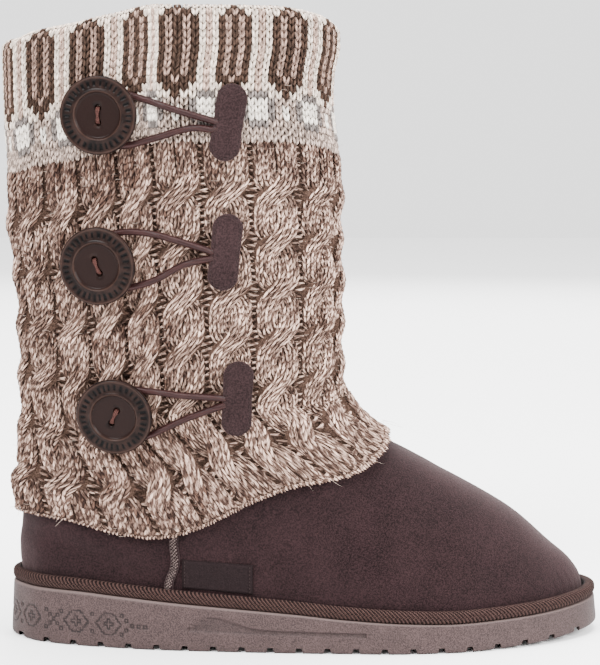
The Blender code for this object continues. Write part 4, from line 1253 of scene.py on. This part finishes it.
def cable_turns(row):
    """How far the strands have wound at a row, in half turns: one to a crossing, quicker in its middle."""
    crossings = math.floor((CABLE_ROWS - 2 - FIRST_CROSS) / CROSS_ROWS) + 1
    pace = np.clip((row - FIRST_CROSS) / CROSS_ROWS + 0.5, 0.0, crossings)
    return pace - CROSS_HASTE * np.sin(2.0 * math.pi * pace)


def strand_middle(sign, wind):
    """Middle of a strand, in wales from the cable's own middle."""
    return -sign * STRAND_SWING * np.cos(wind)


def strand_spread(wind):
    """How much wider than at rest a strand's wales lie where it crosses over."""
    return 1.00 + 0.34 * np.abs(np.sin(wind))


def strand_stand(sign, wind, within, row):
    """How far a strand's face stands off the leg: round across its wales, in front or behind at crossings."""
    ease = 0.35 + 0.65 * smooth_step((row - 0.5) / 4.0)
    hump = np.sqrt(np.clip(1.0 - (within / STRAND_ROUND) ** 2, 0.0, 1.0))
    return SLEEVE_GAP + 0.0010 + ease * (STRAND_HUMP * hump + sign * STRAND_LIFT * np.sin(wind))


def cable_face(across, row):
    """How far the cables stand off the leg at a place, in wales from a cable's middle: the higher strand."""
    wind = cable_turns(row) * math.pi
    found = np.full(np.shape(across), SLEEVE_GAP + 0.0012)
    for sign in (1.0, -1.0):
        within = (across - strand_middle(sign, wind)) / strand_spread(wind)
        stand = strand_stand(sign, wind, within, row)
        found = np.maximum(found, np.where(np.abs(within) < STRAND_EDGE, stand, 0.0))
    return found


def knit_tints(share, row, chance, crown=0.6):
    """Tint and deeper tint of the marled wool: cream over taupe, in cloudy patches with dark stretches, and a
    painted light on the sleeve's front.
    crown is how far out a stitch stands, from 0 in a valley to 1 on a cable: the valleys get painted shade,
    as a lower tone and a darker tint."""
    patch = soft_noise(share * 26.0, row / 7.0, 21) * 0.42 + soft_noise(share * 90.0, row / 2.2, 22) * 0.48
    way = np.mod(share, 2.0)
    # Painted light: the sleeve's front, towards the toe, gets a lighter tone.
    front = smooth_step((way - 0.45) / 0.3) * smooth_step((1.55 - way) / 0.3)
    base = 0.375 + 0.25 * front - 0.22 * smooth_step((row - CABLE_ROWS + 9.0) / 5.0)
    # Painted shade: a stitch's tone drops the less far out it stands, so the valleys read darker.
    tone = base + 0.36 * patch + 0.60 * (chance - 0.5) + 0.14 * (crown - 0.55)
    tone = np.clip(tone, 0.0, 1.0)[..., None]
    # Painted shade: the tint and the deeper tint are darkened further where a stitch stands low.
    shade = np.broadcast_to(0.80 + 0.22 * crown, tone.shape[:-1])[..., None]
    (dark_tint, light_tint), (dark_deep, light_deep) = WOOL_TINTS, WOOL_DEEPS
    tint = (dark_tint + (light_tint - dark_tint) * tone**1.2) * shade
    return tint, (dark_deep + (light_deep - dark_deep) * tone) * shade


def lay_knit(name, faces, points, yarn, tint, deep, nodes=()):
    tints = [np.broadcast_to(colour[..., None, :], points.shape) for colour in (tint, deep)]
    add_piece(name, points, faces, KNIT, nodes, "knit", yarn=yarn, tint=tints[0], deep=tints[1])


def lay_legs(name, points, chance, tint, deep, nodes=()):
    """Stitches' legs as one piece. Its layer yarn runs along and round each leg, with a chance number."""
    t, angle, _ = LEG
    yarn = np.stack(np.broadcast_arrays(t, (angle + math.pi / 2.0) / (2.0 * math.pi), chance), -1)
    lay_knit(name, spindle_faces(len(points), 3, 4), points, yarn, tint, deep, nodes)


def cable_height(across, row):
    """Level of a place in the knit below the band: rows share the way from hem to band evenly."""
    way = way_of(across)
    low = hem_level(way)
    return way, low + (band_level(way) - low) * row / CABLE_ROWS


def make_cables():
    """Cables of two three-wale strands. A strand's middle swings across the cable as minus the cosine of its
    winding and stands out as its sine, so at each crossing the strand that goes right is in front."""
    t, angle, thick = LEG
    for group, cables in enumerate(np.split(np.arange(CABLES), 3)):
        cable, sign, wale, row, side = columns_of(cables, (1, -1), (-1, 0, 1), np.arange(CABLE_ROWS), (-1, 1))
        chance = random.random((5, len(cable), 1))
        at_row = row + 0.5 + LEG_HALF * t + 0.10 * (chance[0] - 0.5)
        at_row = np.where(at_row < 0.5, 0.5 + 0.45 * (at_row - 0.5), at_row)
        wind = cable_turns(at_row) * math.pi
        within = wale + side * (0.250 + 0.170 * t) + 0.08 * (chance[1] - 0.5)
        across = strand_middle(sign, wind) + within * strand_spread(wind)
        stand = strand_stand(sign, wind, within, at_row)
        stand = stand + 0.00035 * (1.0 - t**2) - 0.00042 * t + LEG_OUT * thick * np.sin(angle)
        share = (cable + 0.5 + across / CABLE_WALES) / (CABLES / 2.0)
        way, level = cable_height(share, at_row)
        width = LEG_ACROSS * thick * np.cos(angle) * (0.88 + 0.24 * chance[2]) / 0.187
        point = on_leg(way + width, level, stand + 0.0002 * (chance[3] - 0.5))
        # crown sets the painted valley shade in knit_tints.
        crown = np.clip((stand.mean(1) - SLEEVE_GAP - 0.0018) / 0.0032, 0.0, 1.0)
        tints = knit_tints(share[:, 0], row[:, 0], chance[4][:, 0], crown)
        lay_legs(f"cables_{group + 1}", point, chance[3], *tints, () if group else ["knit_sleeve"])


def make_purl():
    """The purl wale between cables: a short bar across it in each row, bowed up in its middle."""
    t, angle, thick = LEG
    cable, row, half = columns_of(np.arange(CABLES), np.arange(CABLE_ROWS), (0.0, 0.5))
    chance = random.random((3, len(cable), 1))
    bow = np.where(half > 0.2, -1.0, 1.0)
    lean = np.abs(np.sin(cable_turns(row + 0.5) * math.pi)) ** 2
    at_row = row + 0.25 + half + bow * 0.26 * (1.0 - t**2) + 0.60 * (chance[1] - 0.5) * t
    at_row = at_row + 0.24 * thick * np.sin(angle)
    across = (0.62 + 0.66 * lean) * t + 0.34 * (chance[0] - 0.5)
    share = (cable + across / CABLE_WALES) / (CABLES / 2.0)
    way, level = cable_height(share, np.clip(at_row, -0.2, CABLE_ROWS))
    stand = SLEEVE_GAP + 0.0013 + 0.0006 * (1.0 - t**2) + 0.0006 * chance[2] + 0.0006 * thick * np.cos(angle)
    tint, deep = knit_tints(share[:, 0], row[:, 0], chance[1][:, 0])
    # Painted shade: the purl bars, which lie in the valleys between cables, are darkened by a share.
    lay_legs("purl_wales", on_leg(way, level, stand), chance[2], tint * 0.86, deep * 0.86)


def rim_profile(run):
    """The band's way over the rim. run is the length along the knit from the band's lower edge: it goes
    straight up, over a half ellipse and down inside. Gives the rise, the offset, the tilt of the outward
    direction and the run to the rim."""
    straight = 0.94 * BAND_HEIGHT
    outer = SLEEVE_GAP + BAND_THICKNESS - 0.0012
    inner = -WALL - SLEEVE_GAP - FOLD_THICKNESS + 0.0006
    high, wide = 0.06 * BAND_HEIGHT, (outer - inner) / 2.0
    bend = math.pi * math.sqrt((high**2 + wide**2) / 2.0)
    angle = np.clip((run - straight) / bend, 0.0, 1.0) * math.pi
    rise = np.minimum(run, straight) + high * np.sin(angle) - np.maximum(run - straight - bend, 0.0)
    offset = inner + wide + wide * np.cos(angle)
    return rise, offset, angle, straight + bend / 2.0


def make_band():
    """The banded top: rows of stitches in the chart's colours up to the rim, then marl over it and inside."""
    t, angle, thick = LEG
    pitch = rim_profile(np.zeros(1))[3] / BAND_ROWS
    for name, low, high in (("band_lower", 0, 10), ("band_upper", 10, BAND_ROWS + RIM_ROWS + 2)):
        wale, row, side = columns_of(np.arange(BAND_WALES), np.arange(low, high), (-1.0, 1.0))
        chance = random.random((4, len(wale), 1))
        rise, offset, tilt, _ = rim_profile(pitch * (row + 0.5 + BAND_LEG * t))
        within = 0.5 + side * (0.245 + 0.155 * t) + 0.04 * (chance[0] - 0.5)
        way = way_of((wale + within) / (BAND_WALES / 2.0), BAND_STRETCH)
        way = way + 1.04 * LEG_ACROSS * thick * np.cos(angle) * (0.92 + 0.16 * chance[1]) / 0.190
        stand = 0.0003 * (1.0 - t**2) - 0.00036 * t + 1.15 * LEG_OUT * thick * np.sin(angle)
        point = on_leg(way, band_level(way) + rise, offset, stand + 0.00025 * (chance[2] - 0.5), tilt)
        letters = chart_letters(wale[:, 0].astype(int), row[:, 0].astype(int))
        tint, marl = [np.array([YARNS[key][k] for key in YARNS])[letters] for k in (0, 1)]
        tone = 0.86 + 0.28 * chance[3]
        lay_legs(name, point, chance[3], tint * tone, tint * (1.0 - marl[:, None]) * 0.80 * tone)


def chart_letters(wale, row):
    """Numbers of the yarns that the chart gives: rows count up from the band's lower edge."""
    order = "".join(YARNS)
    chart = np.array([[order.index(letter) for letter in line] for line in BAND_CHART])
    from_rim = BAND_ROWS - 1 - row
    picked = chart[np.clip(from_rim, 0, BAND_ROWS - 1), (wale - CHART_SHIFT) % 8]
    return np.where(from_rim < 0, np.where(wale % 2 == 0, order.index("L"), order.index("B")), picked)


def make_backing():
    """The sleeve's wall behind its stitches, closed: from the hem up, over the rim and down inside."""
    share = np.linspace(0.0, 2.0, CABLES * 12, endpoint=False)
    way = way_of(share)
    hem, band, collar = hem_level(way), band_level(way), collar_round(way)
    rings = [on_leg(way, hem + 0.0006, SLEEVE_GAP + 0.0002), on_leg(way, hem + 0.0002, SLEEVE_GAP + 0.0006)]
    across = (np.mod(share * CABLES / 2.0, 1.0) - 0.5) * CABLE_WALES
    for row in np.linspace(0.4, CABLE_ROWS, 84):
        face = cable_face(across, row) - BACKING_SET
        level = hem + (band - hem) * row / CABLE_ROWS
        rings.append(on_leg(way, level, np.maximum(face, SLEEVE_GAP + 0.0007)))
    for run in np.linspace(0.06, 2.0, 22) * rim_profile(np.zeros(1))[3]:
        rise, offset, tilt, _ = rim_profile(np.full_like(way, run))
        rings.append(on_leg(way, band + rise, offset, -0.0008, tilt))
    back = -WALL - SLEEVE_GAP
    floor, over = collar - FOLD_DEPTH, collar + 0.0009
    inside = [(floor, back - FOLD_THICKNESS), (floor, back), (collar, back)]
    inside += [(over, back + 0.0006), (over, 0.0), (collar, SLEEVE_GAP)]
    rings += [on_leg(way, level, offset) for level, offset in inside]
    for down in np.linspace(0.0, 1.0, 12)[1:-1]:
        rings.append(on_leg(way, collar + (hem - collar) * down, SLEEVE_GAP * 0.8))
    number = np.arange(len(rings))[:, None]
    seen_inside = (number >= 100) & (number < 110)
    # Its finish paints shade behind the stitches; only the fold's inside shows the knit's pale back.
    add_grid("knit_backing", np.stack(rings), BACKING, (), "knit", inside=seen_inside)


def make_hem_loops():
    """Cast-on edge: a row of small loops hanging at the hem, each a bow below its wale."""
    t, angle, thick = LEG
    count = CABLES * CABLE_WALES * 2
    loop = np.arange(count)[:, None].astype(float)
    chance = random.random((4, count, 1))
    way = way_of((loop + 0.5 + 0.66 * t) / count * 2.0)
    level = hem_level(way) + 0.0010 - (0.0012 + 0.0004 * chance[0] ** 2) * (1.0 - t**2)
    level = level + 0.00066 * thick * np.cos(angle)
    stand = SLEEVE_GAP + 0.0020 + 0.0005 * chance[1] + 0.00066 * thick * np.sin(angle)
    tints = knit_tints(loop[:, 0] / count * 2.0, np.zeros(count), 0.5 + 0.5 * chance[2][:, 0])
    lay_legs("hem_loops", on_leg(way, level, stand), chance[3], *tints)


def make_fuzz():
    """Stray hairs of the wool: short bowed strands that start at the knit's face and stand off it."""
    count = 1500
    draw = random.random((8, count))
    way = 2.0 * draw[0]
    low, high = hem_level(way), collar_round(way) + FOLD_OVER
    at_hem = draw[2] < 0.03
    level = np.where(at_hem, low + 0.001, low + 0.84 * (high - low) * draw[1])
    stand = SLEEVE_GAP + np.where(level < band_level(way), 0.0046, BAND_THICKNESS)
    root = on_leg(way, level, stand)
    length = 0.0016 + 0.0030 * draw[3] ** 2
    reach = on_leg(way + (draw[4] - 0.5) * 0.03, level - np.where(at_hem, length, 0.0), stand + length * 0.55)
    bend = (root + reach) / 2.0 + (draw[5:8].T - 0.5) * length[:, None] * 0.9
    share = np.linspace(0.0, 1.0, 5)
    paths = np.stack([root * (1 - s) ** 2 + 2 * bend * s * (1 - s) + reach * s**2 for s in share], 1)
    points, faces, _ = bundle(paths, 0.000055, 3, np.array([0.3, 0.2, 0.9]))
    points = points.reshape(count, -1, 3)
    tint = np.broadcast_to(np.array([0.50, 0.40, 0.34]), (count, 3))
    lay_knit("wool_hairs", faces, points, np.zeros(points.shape), tint, tint * 0.6)


# Seams and label


def seam_path(level):
    """Distance of the seam from the heel end: it sways a little and bends towards the heel at its foot."""
    bend = np.exp(-(((level - TAPE_HEIGHT) / 0.006) ** 2))
    return SEAM_DISTANCE + 0.0004 * np.sin(level * 420.0) - 0.0030 * bend


def add_threads(name, paths, radius, outward, finish, nodes=(), sides=5, chance=0.0, pace=1.0, angle=0.0):
    """Strands of thread as one piece. The layer yarn holds the place along, the angle round in turns and a
    chance number for each strand."""
    points, faces, along = bundle(paths, radius, sides, outward)
    chance = np.repeat(np.broadcast_to(chance, len(paths)), len(along) // len(paths))
    yarn = np.stack(np.broadcast_arrays(along * pace, angle, chance), -1)
    add_piece(name, points, faces, finish, nodes, "thread", yarn=yarn)


def make_seam(side, outer):
    """Overlocked seam: a rib from tape to hem with slanting threads over it."""
    top = hem_over(SEAM_DISTANCE, outer)
    level = np.linspace(TAPE_HEIGHT * 0.9, top + 0.0015, 60)[:, None]
    across = np.linspace(-1.0, 1.0, 13)
    turns = turn_at(seam_path(level) + across * SEAM_WIDTH / 2.0, level, outer)
    crown = SEAM_HEIGHT * np.clip(1.0 - across**2, 0.0, 1.0) ** 0.5
    lumps = 0.85 + 0.15 * np.cos(2.0 * math.pi * (level / 0.0021 + across * 0.6))
    face = on_body(turns, level, GAP + 0.0002 + crown * lumps)
    rings = np.concatenate([face, on_body(turns[:, ::-1], level, 0.0001)], 1)
    if not outer:
        rings = rings[:, ::-1]
    sides = rings.shape[1]
    lids = [np.arange(sides)[None, ::-1], (np.arange(sides) + (len(rings) - 1) * sides)[None, :]]
    faces = [grid_faces(len(rings), sides, False, True), *lids]
    add_piece(f"seam_rib_{side}", rings, faces, SUEDE, [f"seam_{side}"], "suede")
    span = np.linspace(-1.0, 1.0, 9)
    start = np.arange(TAPE_HEIGHT + 0.0004, top - 0.0014, SEAM_PACE)[:, None]
    for number, (slant, radius) in enumerate(((0.0019, 0.00038), (-0.0007, 0.00013))):
        at = start + slant * span
        lift = GAP + 0.00035 + SEAM_HEIGHT * np.sqrt(1.0 - 0.9 * span**2) * (1.0 - 0.06 * number)
        turns = turn_at(seam_path(at) + span * SEAM_WIDTH * 0.41, at, outer)
        add_threads(
            f"seam_thread_{side}_{number + 1}", on_body(turns, at, lift), radius, body_normal(turns, at),
            SEAM_THREAD, chance=random.random(len(at)),
        )


def hem_over(distance, outer):
    """Level of the sleeve's lower edge over a distance from the heel end, on one side."""
    way = np.linspace(0.0, 1.0, 200) if outer else np.linspace(2.0, 1.0, 200) - 1e-6
    level = hem_level(way)
    return float(np.interp(distance, on_leg(way, level, 0.0)[:, 0], level))


def make_label():
    """Blank woven label: a patch of the body lifted by its thickness, with soft folded ends."""
    columns, rows = 66, 30
    along, up = np.linspace(0.0, 1.0, columns)[:, None], np.linspace(0.0, 1.0, rows)
    level = LABEL_LEVEL + LABEL_HEIGHT * up
    turns = turn_at(LABEL_DISTANCE + LABEL_LENGTH * along, level)
    edge = np.minimum(np.minimum(along, 1.0 - along) * LABEL_LENGTH, np.minimum(up, 1.0 - up) * LABEL_HEIGHT)
    hem = 0.00012 * np.exp(-((edge - 0.0012) / 0.0005) ** 2)
    face = on_body(turns, level, GAP + 0.0003 + 0.0006 * smooth_step(edge / 0.0007 + 0.25) + hem)
    points = np.concatenate([face.reshape(-1, 3), on_body(turns, level, GAP * 0.5).reshape(-1, 3)])
    top, total = grid_faces(columns, rows), columns * rows
    number = np.arange(total).reshape(columns, rows)
    rim = np.concatenate([number[0], number[1:, -1], number[-1, -2::-1], number[-2:0:-1, 0]])
    beside = np.roll(rim, -1)
    walls = np.stack([rim, beside, beside + total, rim + total], -1)
    threads = (along * LABEL_LENGTH / LABEL_THREAD, up * LABEL_HEIGHT / LABEL_THREAD, 0.5)
    yarn = np.tile(np.stack(np.broadcast_arrays(*threads), -1).reshape(-1, 3), (2, 1))
    faces = [top[:, ::-1], top + total, walls]
    add_piece("blank_label", points, faces, LABEL, ["side_label"], "suede", weld=True, yarn=yarn)
    stitch_along_label()


def stitch_along_label():
    """Small stitches down both ends of the label."""
    span = np.linspace(-1.0, 1.0, 7)
    level = LABEL_LEVEL + LABEL_HEIGHT * np.linspace(0.08, 0.92, 8)[:, None] + 0.00050 * span
    turns = np.concatenate([turn_at(LABEL_DISTANCE + end, level) for end in (0.0013, LABEL_LENGTH - 0.0013)])
    level = np.tile(level, (2, 1))
    paths = on_body(turns, level, GAP + 0.0009 + 0.00018 * (1.0 - span**2))
    add_threads("label_stitches", paths, 0.00016, body_normal(turns, level), DARK_THREAD)


# Buttons, loops and tabs


def sleeve_stand(turn, level):
    """How far the sleeve's cables, or its band higher up, stand off the upper."""
    band = collar_level(turn) + FOLD_OVER - BAND_HEIGHT
    cable = smooth_step((band - level) / (0.4 * TWIST_PITCH))
    wall = BAND_THICKNESS + (CABLE_BASE + CABLE_RELIEF - BAND_THICKNESS) * cable
    return SLEEVE_GAP + hollow_slack(turn, level) + wall


def seat(distance, level, lift):
    """Origin and axes of a flat piece on the outer side: x to the toe, y up, z outwards, off the sleeve."""
    turn = turn_at(distance, level)
    origin = on_body(turn, level, sleeve_stand(turn, level) + lift)
    out = body_normal(turn, level)
    toe = unit(np.cross([0.0, 0.0, 1.0], out))
    return origin, np.stack([toe, np.cross(out, toe), out])


def leaned(axes, degrees):
    """Axes turned about the outward one, the top towards the toe where the lean is positive."""
    a = math.radians(degrees)
    turn = np.array([[math.cos(a), -math.sin(a), 0.0], [math.sin(a), math.cos(a), 0.0], [0.0, 0.0, 1.0]])
    return turn @ axes


def at_seat(place, points):
    """Points of a piece's own frame moved to its seat."""
    origin, axes = place
    return origin + np.asarray(points, float) @ axes


def turned(radius, angle, height, up=0.0):
    """Points of a profile turned about an axis that lies a little way up from the seat's own."""
    return np.stack(np.broadcast_arrays(radius * np.cos(angle), up + radius * np.sin(angle), height), -1)


# Button profile, from the middle of the dish over the lip and the rim to the back: radius and height in mm
BUTTON_PROFILE = (
    (0.0, 2.90), (4.5, 2.88), (8.6, 2.92), (9.5, 3.05), (10.0, 3.55), (10.35, 4.02), (10.8, 4.18),
    (11.25, 4.02), (11.6, 3.78), (12.6, 3.66), (14.6, 3.52), (15.6, 3.44), (15.95, 3.62), (16.45, 3.58),
    (16.85, 3.10), (17.0, 2.30), (16.8, 1.20), (16.0, 0.25), (15.2, 0.0), (8.0, 0.0), (0.0, 0.0),
)
RIM_DASHES = 34
DASH_DEPTH = 0.00030
# Profile of the cutter for a hole: radius and height in mm
CUTTER = ((0.0, -2.0), (1.30, -2.0), (1.30, 2.35), (1.42, 2.65), (1.75, 2.95), (1.9, 6.0), (0.0, 6.0))


def make_button(number, place, lean):
    """The profile, with points close together where it bends, is turned about the button's axis. Its ring has
    short radial cuts, and two holes are drilled."""
    close = np.r_[0, 40, 70, 84:134:3, 134:164:5, 164:216:4, 220, 260, 330, 399]
    profile = smooth_route(BUTTON_PROFILE, 400)[close] / 1000.0
    radius, height = 1.03 * profile[:, 0], profile[:, 1]
    angle = np.linspace(0.0, 2.0 * math.pi, 196, endpoint=False)[:, None]
    top = height > 0.0023
    ring = smooth_step((radius - 0.0121) / 0.0003) * smooth_step((0.0156 - radius) / 0.0003) * top
    beat = np.cos(RIM_DASHES * angle + 0.7 * np.sin(5.0 * angle + number))
    long_dash = 0.5 + 0.5 * np.cos(3.0 * angle + number)
    inner_end = smooth_step((radius - 0.0122 - 0.0008 * long_dash) / 0.0003)
    dash = ring * inner_end * smooth_step((beat - 0.10) / 0.25)
    dish = smooth_step((0.0106 - radius) / 0.0008) * top
    # bead and lip place the finish's painted highlight, and dash its painted shade.
    bead, lip = np.exp(-(((radius - 0.01655) / 0.00028) ** 2)), np.exp(-(((radius - 0.0107) / 0.0003) ** 2))
    button = add_grid(
        f"button_body_{number}", at_seat(place, turned(radius, angle, height - DASH_DEPTH * dash)), BUTTON,
        [f"button_{number}"], "button", (True, False), True,
        cut=dash, dish=dish, edge=0.75 * (bead + 0.9 * lip) * top,
    )
    for side in (-0.5, 0.5):
        drill_hole(button, (place[0], leaned(place[1], -lean)), side * HOLE_SPACING)


def drill_hole(button, place, up):
    """Takes a round hole with eased edges out of the button, by a turned cutter."""
    radius, height = np.array(CUTTER).T / 1000.0
    angle = np.linspace(0.0, 2.0 * math.pi, 24, endpoint=False)[:, None]
    points = placed(at_seat(place, turned(radius, angle, height, up))).reshape(-1, 3)
    mesh = bpy.data.meshes.new("drill")
    mesh.from_pydata(points.tolist(), [], grid_faces(24, len(CUTTER), True).tolist())
    clean_mesh(mesh, 1e-6)
    cutter = new_object("drill", mesh)
    modifier = button.modifiers.new("hole", "BOOLEAN")
    modifier.operation = "DIFFERENCE"
    modifier.object = cutter
    bpy.context.view_layer.update()
    made = bpy.data.meshes.new_from_object(button.evaluated_get(bpy.context.evaluated_depsgraph_get()))
    button.modifiers.clear()
    clean_mesh(made, 2e-6, 2e-6, outward=False)
    made.name = button.name
    button.data = made
    bpy.data.objects.remove(cutter)


def make_button_thread(number, place, lean):
    """Four strands of thread side by side, up one hole, over the dish and down the other."""
    seat_place = (place[0], leaned(place[1], -lean))
    hole = HOLE_SPACING / 2.0
    top = BUTTON_THICKNESS - DISH_DEPTH + 0.0005
    foot = -(CORD_DIAMETER + GAP)
    paths = []
    for k, shift in enumerate((-0.66, -0.22, 0.22, 0.66)):
        x = shift * THREAD_SHIFT
        lift = 0.00022 * (1.0 - abs(shift)) + 0.0001 * (k % 2)
        half = [(0.5 * x, 0.35 * hole, foot), (x, hole, 0.001), (1.1 * x, 0.98 * hole, 0.78 * top)]
        half.append((1.2 * x, 0.62 * hole, top + lift))
        back = [(p[0] - 0.2 * x, -p[1], p[2]) for p in reversed(half)]
        route = [*half, (0.4 * x, 0.0, top + 1.3 * lift + 0.0002), *back]
        paths.append(at_seat(seat_place, smooth_route(route, 40)))
    sides = 8
    angle = np.tile(np.concatenate([[0.0], np.tile(np.arange(sides) / sides, 38), [0.0]]), len(paths))
    add_threads(
        f"sewing_thread_{number}", np.stack(paths), 0.00036, seat_place[1][0], BUTTON_THREAD,
        [f"button_thread_{number}"], sides, random.random(len(paths)), 4.0, angle,
    )


def tab_edge(angle, share):
    """Places on a ring of the tab: its edge drawn a share of the way from its middle line."""
    reach, straight = share * TAB_WIDTH / 2.0, (TAB_LENGTH - TAB_WIDTH) / 2.0
    return reach * np.cos(angle), straight * np.clip(np.sin(angle) * 4.0, -1.0, 1.0) + reach * np.sin(angle)


def narrowed(x, y):
    """The tab is a little narrower at its middle."""
    return x * (1.0 - 0.07 * np.exp(-((y / 0.0065) ** 2)))


def make_tab(number, place):
    """Round-ended tab: rings that shrink from its edge to its middle line, with a trough for stitches."""
    angle = np.linspace(0.0, 2.0 * math.pi, 120, endpoint=False)
    inward = np.linspace(0.985, 0.0, 24)
    shares = np.concatenate([[0.0, 0.55, 0.90, 0.97, 1.0], inward])
    heights = np.concatenate([[0.0] * 4, [0.35 * TAB_THICKNESS], tab_height(inward)])
    rings = []
    for share, height in zip(shares, heights):
        x, y = tab_edge(angle, share)
        wave = 0.00005 * np.sin(5.0 * angle + number) * share * (height > 0.0005)
        rings.append(np.column_stack([narrowed(x, y), y, height + wave]))
    add_grid(
        f"tab_body_{number}", at_seat(place, np.stack(rings)), TAB_SUEDE, [f"tab_{number}"], "suede",
        (False, True), True,
    )
    span = np.linspace(-1.0, 1.0, 7)
    loop = np.column_stack(tab_edge(np.linspace(0.0, 2.0 * math.pi, 721), TAB_STITCH_LINE))
    length = run_along(loop)
    middle = np.arange(TAB_STITCHES)[:, None] + 0.29 * span
    along = np.mod(middle / TAB_STITCHES, 1.0) * length[-1]
    x, y = [np.interp(along, length, loop[:, k]) for k in (0, 1)]
    z = tab_height(TAB_STITCH_LINE) + 0.00020 * (1.0 - span**2) - 0.0001
    paths = at_seat(place, np.stack(np.broadcast_arrays(narrowed(x, y), y, z), -1))
    add_threads(f"tab_stitches_{number}", paths, 0.00019, place[1][2], DARK_THREAD)


def tab_height(share):
    """Height of the tab's face over its foot by the share of the way from middle line to edge."""
    share = np.asarray(share, float)
    dome = (1.0 - np.clip(share, 0.0, 1.0) ** 7.0) ** 0.5
    trough = 0.00030 * np.exp(-(((share - TAB_STITCH_LINE) / 0.06) ** 2))
    return TAB_THICKNESS * (0.35 + 0.65 * dome) - trough


def loop_route(number, button, button_along, button_up):
    """The loop's own points: out of the tab, over the sleeve, round the thread under the button and back."""
    lift = CORD_DIAMETER / 2.0 + GAP
    under = lift - CORD_DIAMETER - 2 * GAP
    reach = LOOP_REACH * BUTTON_DIAMETER / 2.0
    upper, lower = [
        [seat(button_along + along / 1000.0, button_up + up / 1000.0, lift)[0] for along, up in strand]
        for strand in STRANDS[number - 1]
    ]
    behind = ((0.0, 0.98), (-0.68, 0.68), (-0.96, 0.0), (-0.68, -0.68), (0.0, -0.98))
    return [*upper, *[at_seat(button, (x * reach, y * reach, under)) for x, y in behind], *reversed(lower)]


def make_loop(number, button, button_along, button_up):
    """Covered elastic: a tube along the loop, its cover a plait of two winding waves."""
    path = smooth_route(loop_route(number, button, button_along, button_up), 220)
    sides = 18
    ring = tube_points(path, 1.28 * CORD_DIAMETER / 2.0, sides, button[1][2])
    run = np.linspace(0.0, 1.0, len(path))[:, None] * np.linalg.norm(np.diff(path, axis=0), axis=1).sum()
    angle = np.arange(sides) / sides
    plait = sum(np.abs(np.sin(math.pi * (run / PLAIT_PITCH + winds * angle))) for winds in (6.0, -6.0))
    swell = 1.0 + 0.035 * (plait - 1.2)
    ring = path[:, None, :] + (ring - path[:, None, :]) * swell[..., None]
    yarn = np.stack(np.broadcast_arrays(run / 0.02, angle, 0.3), -1)
    points = np.concatenate([ring.reshape(-1, 3), path[:1], path[-1:]])
    yarn = np.concatenate([yarn.reshape(-1, 3), [[0.0, 0.0, 0.3]] * 2])
    k, total = np.arange(sides), len(path) * sides
    beside = (k + 1) % sides
    lids = [
        np.stack([np.full(sides, total), beside, k], -1),
        np.stack([np.full(sides, total + 1), total - sides + k, total - sides + beside], -1),
    ]
    faces = [grid_faces(len(path), sides, False, True), *lids]
    add_piece(f"elastic_loop_{number}", points, faces, ELASTIC, [f"loop_{number}"], "cord", yarn=yarn)


def make_fasteners():
    for number, (along, up, tab_along, tab_up, lean, hole_lean) in enumerate(FASTENERS, 1):
        button = seat(along * SOLE_LENGTH, up * SHAFT_HEIGHT, CORD_DIAMETER + 3 * GAP)
        origin, axes = seat(tab_along * SOLE_LENGTH, tab_up * SHAFT_HEIGHT, 3 * GAP)
        make_button(number, button, hole_lean)
        make_button_thread(number, button, hole_lean)
        make_tab(number, (origin, leaned(axes, lean)))
        make_loop(number, button, along * SOLE_LENGTH, up * SHAFT_HEIGHT)


# Stage

FLOOR_HALF = 3.0
SKY_STRENGTH = 2.1
# Name, place, size and power of each soft box
SOFT_BOXES = (
    ("key", (-0.9, -1.3, 1.6), 0.9, 104.0),
    ("fill", (1.5, -1.0, 1.1), 1.1, 96.0),
    ("top", (0.1, 0.2, 1.7), 1.0, 60.0),
    ("back", (0.2, 1.6, 1.0), 1.4, 38.0),
)
# The camera's eye and aim in the boot's own frame
EYE = (0.1376, -1.0, 0.25)
AIM = (0.1376, 0.0, 0.1428)


def look_at(thing, place, aim):
    thing.location = place
    thing.rotation_euler = (Vector(aim) - Vector(place)).to_track_quat("-Z", "Y").to_euler()


def make_stage():
    """Plain pale floor, an even white sky and soft boxes round the boot."""
    mesh = bpy.data.meshes.new("floor")
    corners = [(x * FLOOR_HALF, y * FLOOR_HALF, 0.0) for x, y in ((-1, -1), (1, -1), (1, 1), (-1, 1))]
    mesh.from_pydata(corners, [], [(0, 1, 2, 3)])
    floor = new_object("floor", mesh)
    look = Finish("pale floor", 0.9)
    cloud = look.noise(look.place(), 3.0)
    mesh.materials.append(look.done(look.mix(cloud, (0.90, 0.90, 0.90), (0.93, 0.93, 0.93))))
    world = bpy.data.worlds.new("studio")
    world.use_nodes = True
    sky = world.node_tree.nodes["Background"].inputs
    sky["Color"].default_value = (1.0, 1.0, 1.0, 1.0)
    sky["Strength"].default_value = SKY_STRENGTH
    bpy.context.scene.world = world
    for name, place, size, power in SOFT_BOXES:
        light = bpy.data.lights.new(name, "AREA")
        light.size = size
        light.energy = power
        look_at(new_object(name, light), place, (0.0, 0.0, 0.12))


def make_camera():
    """The photograph's view: from the outer side, a metre off and a little above, looking slightly down."""
    lens = bpy.data.cameras.new("camera")
    lens.sensor_width = 36.0
    lens.lens = 115.48
    camera = new_object("camera", lens)
    look_at(camera, placed(EYE), placed(AIM))
    bpy.context.scene.camera = camera


make_camera()
make_stage()
make_sole()
make_tape()
make_upper()
make_lining()
make_footbed()
make_backing()
make_cables()
make_purl()
make_band()
make_hem_loops()
make_fuzz()
make_seam("outer", True)
make_seam("inner", False)
make_label()
make_fasteners()
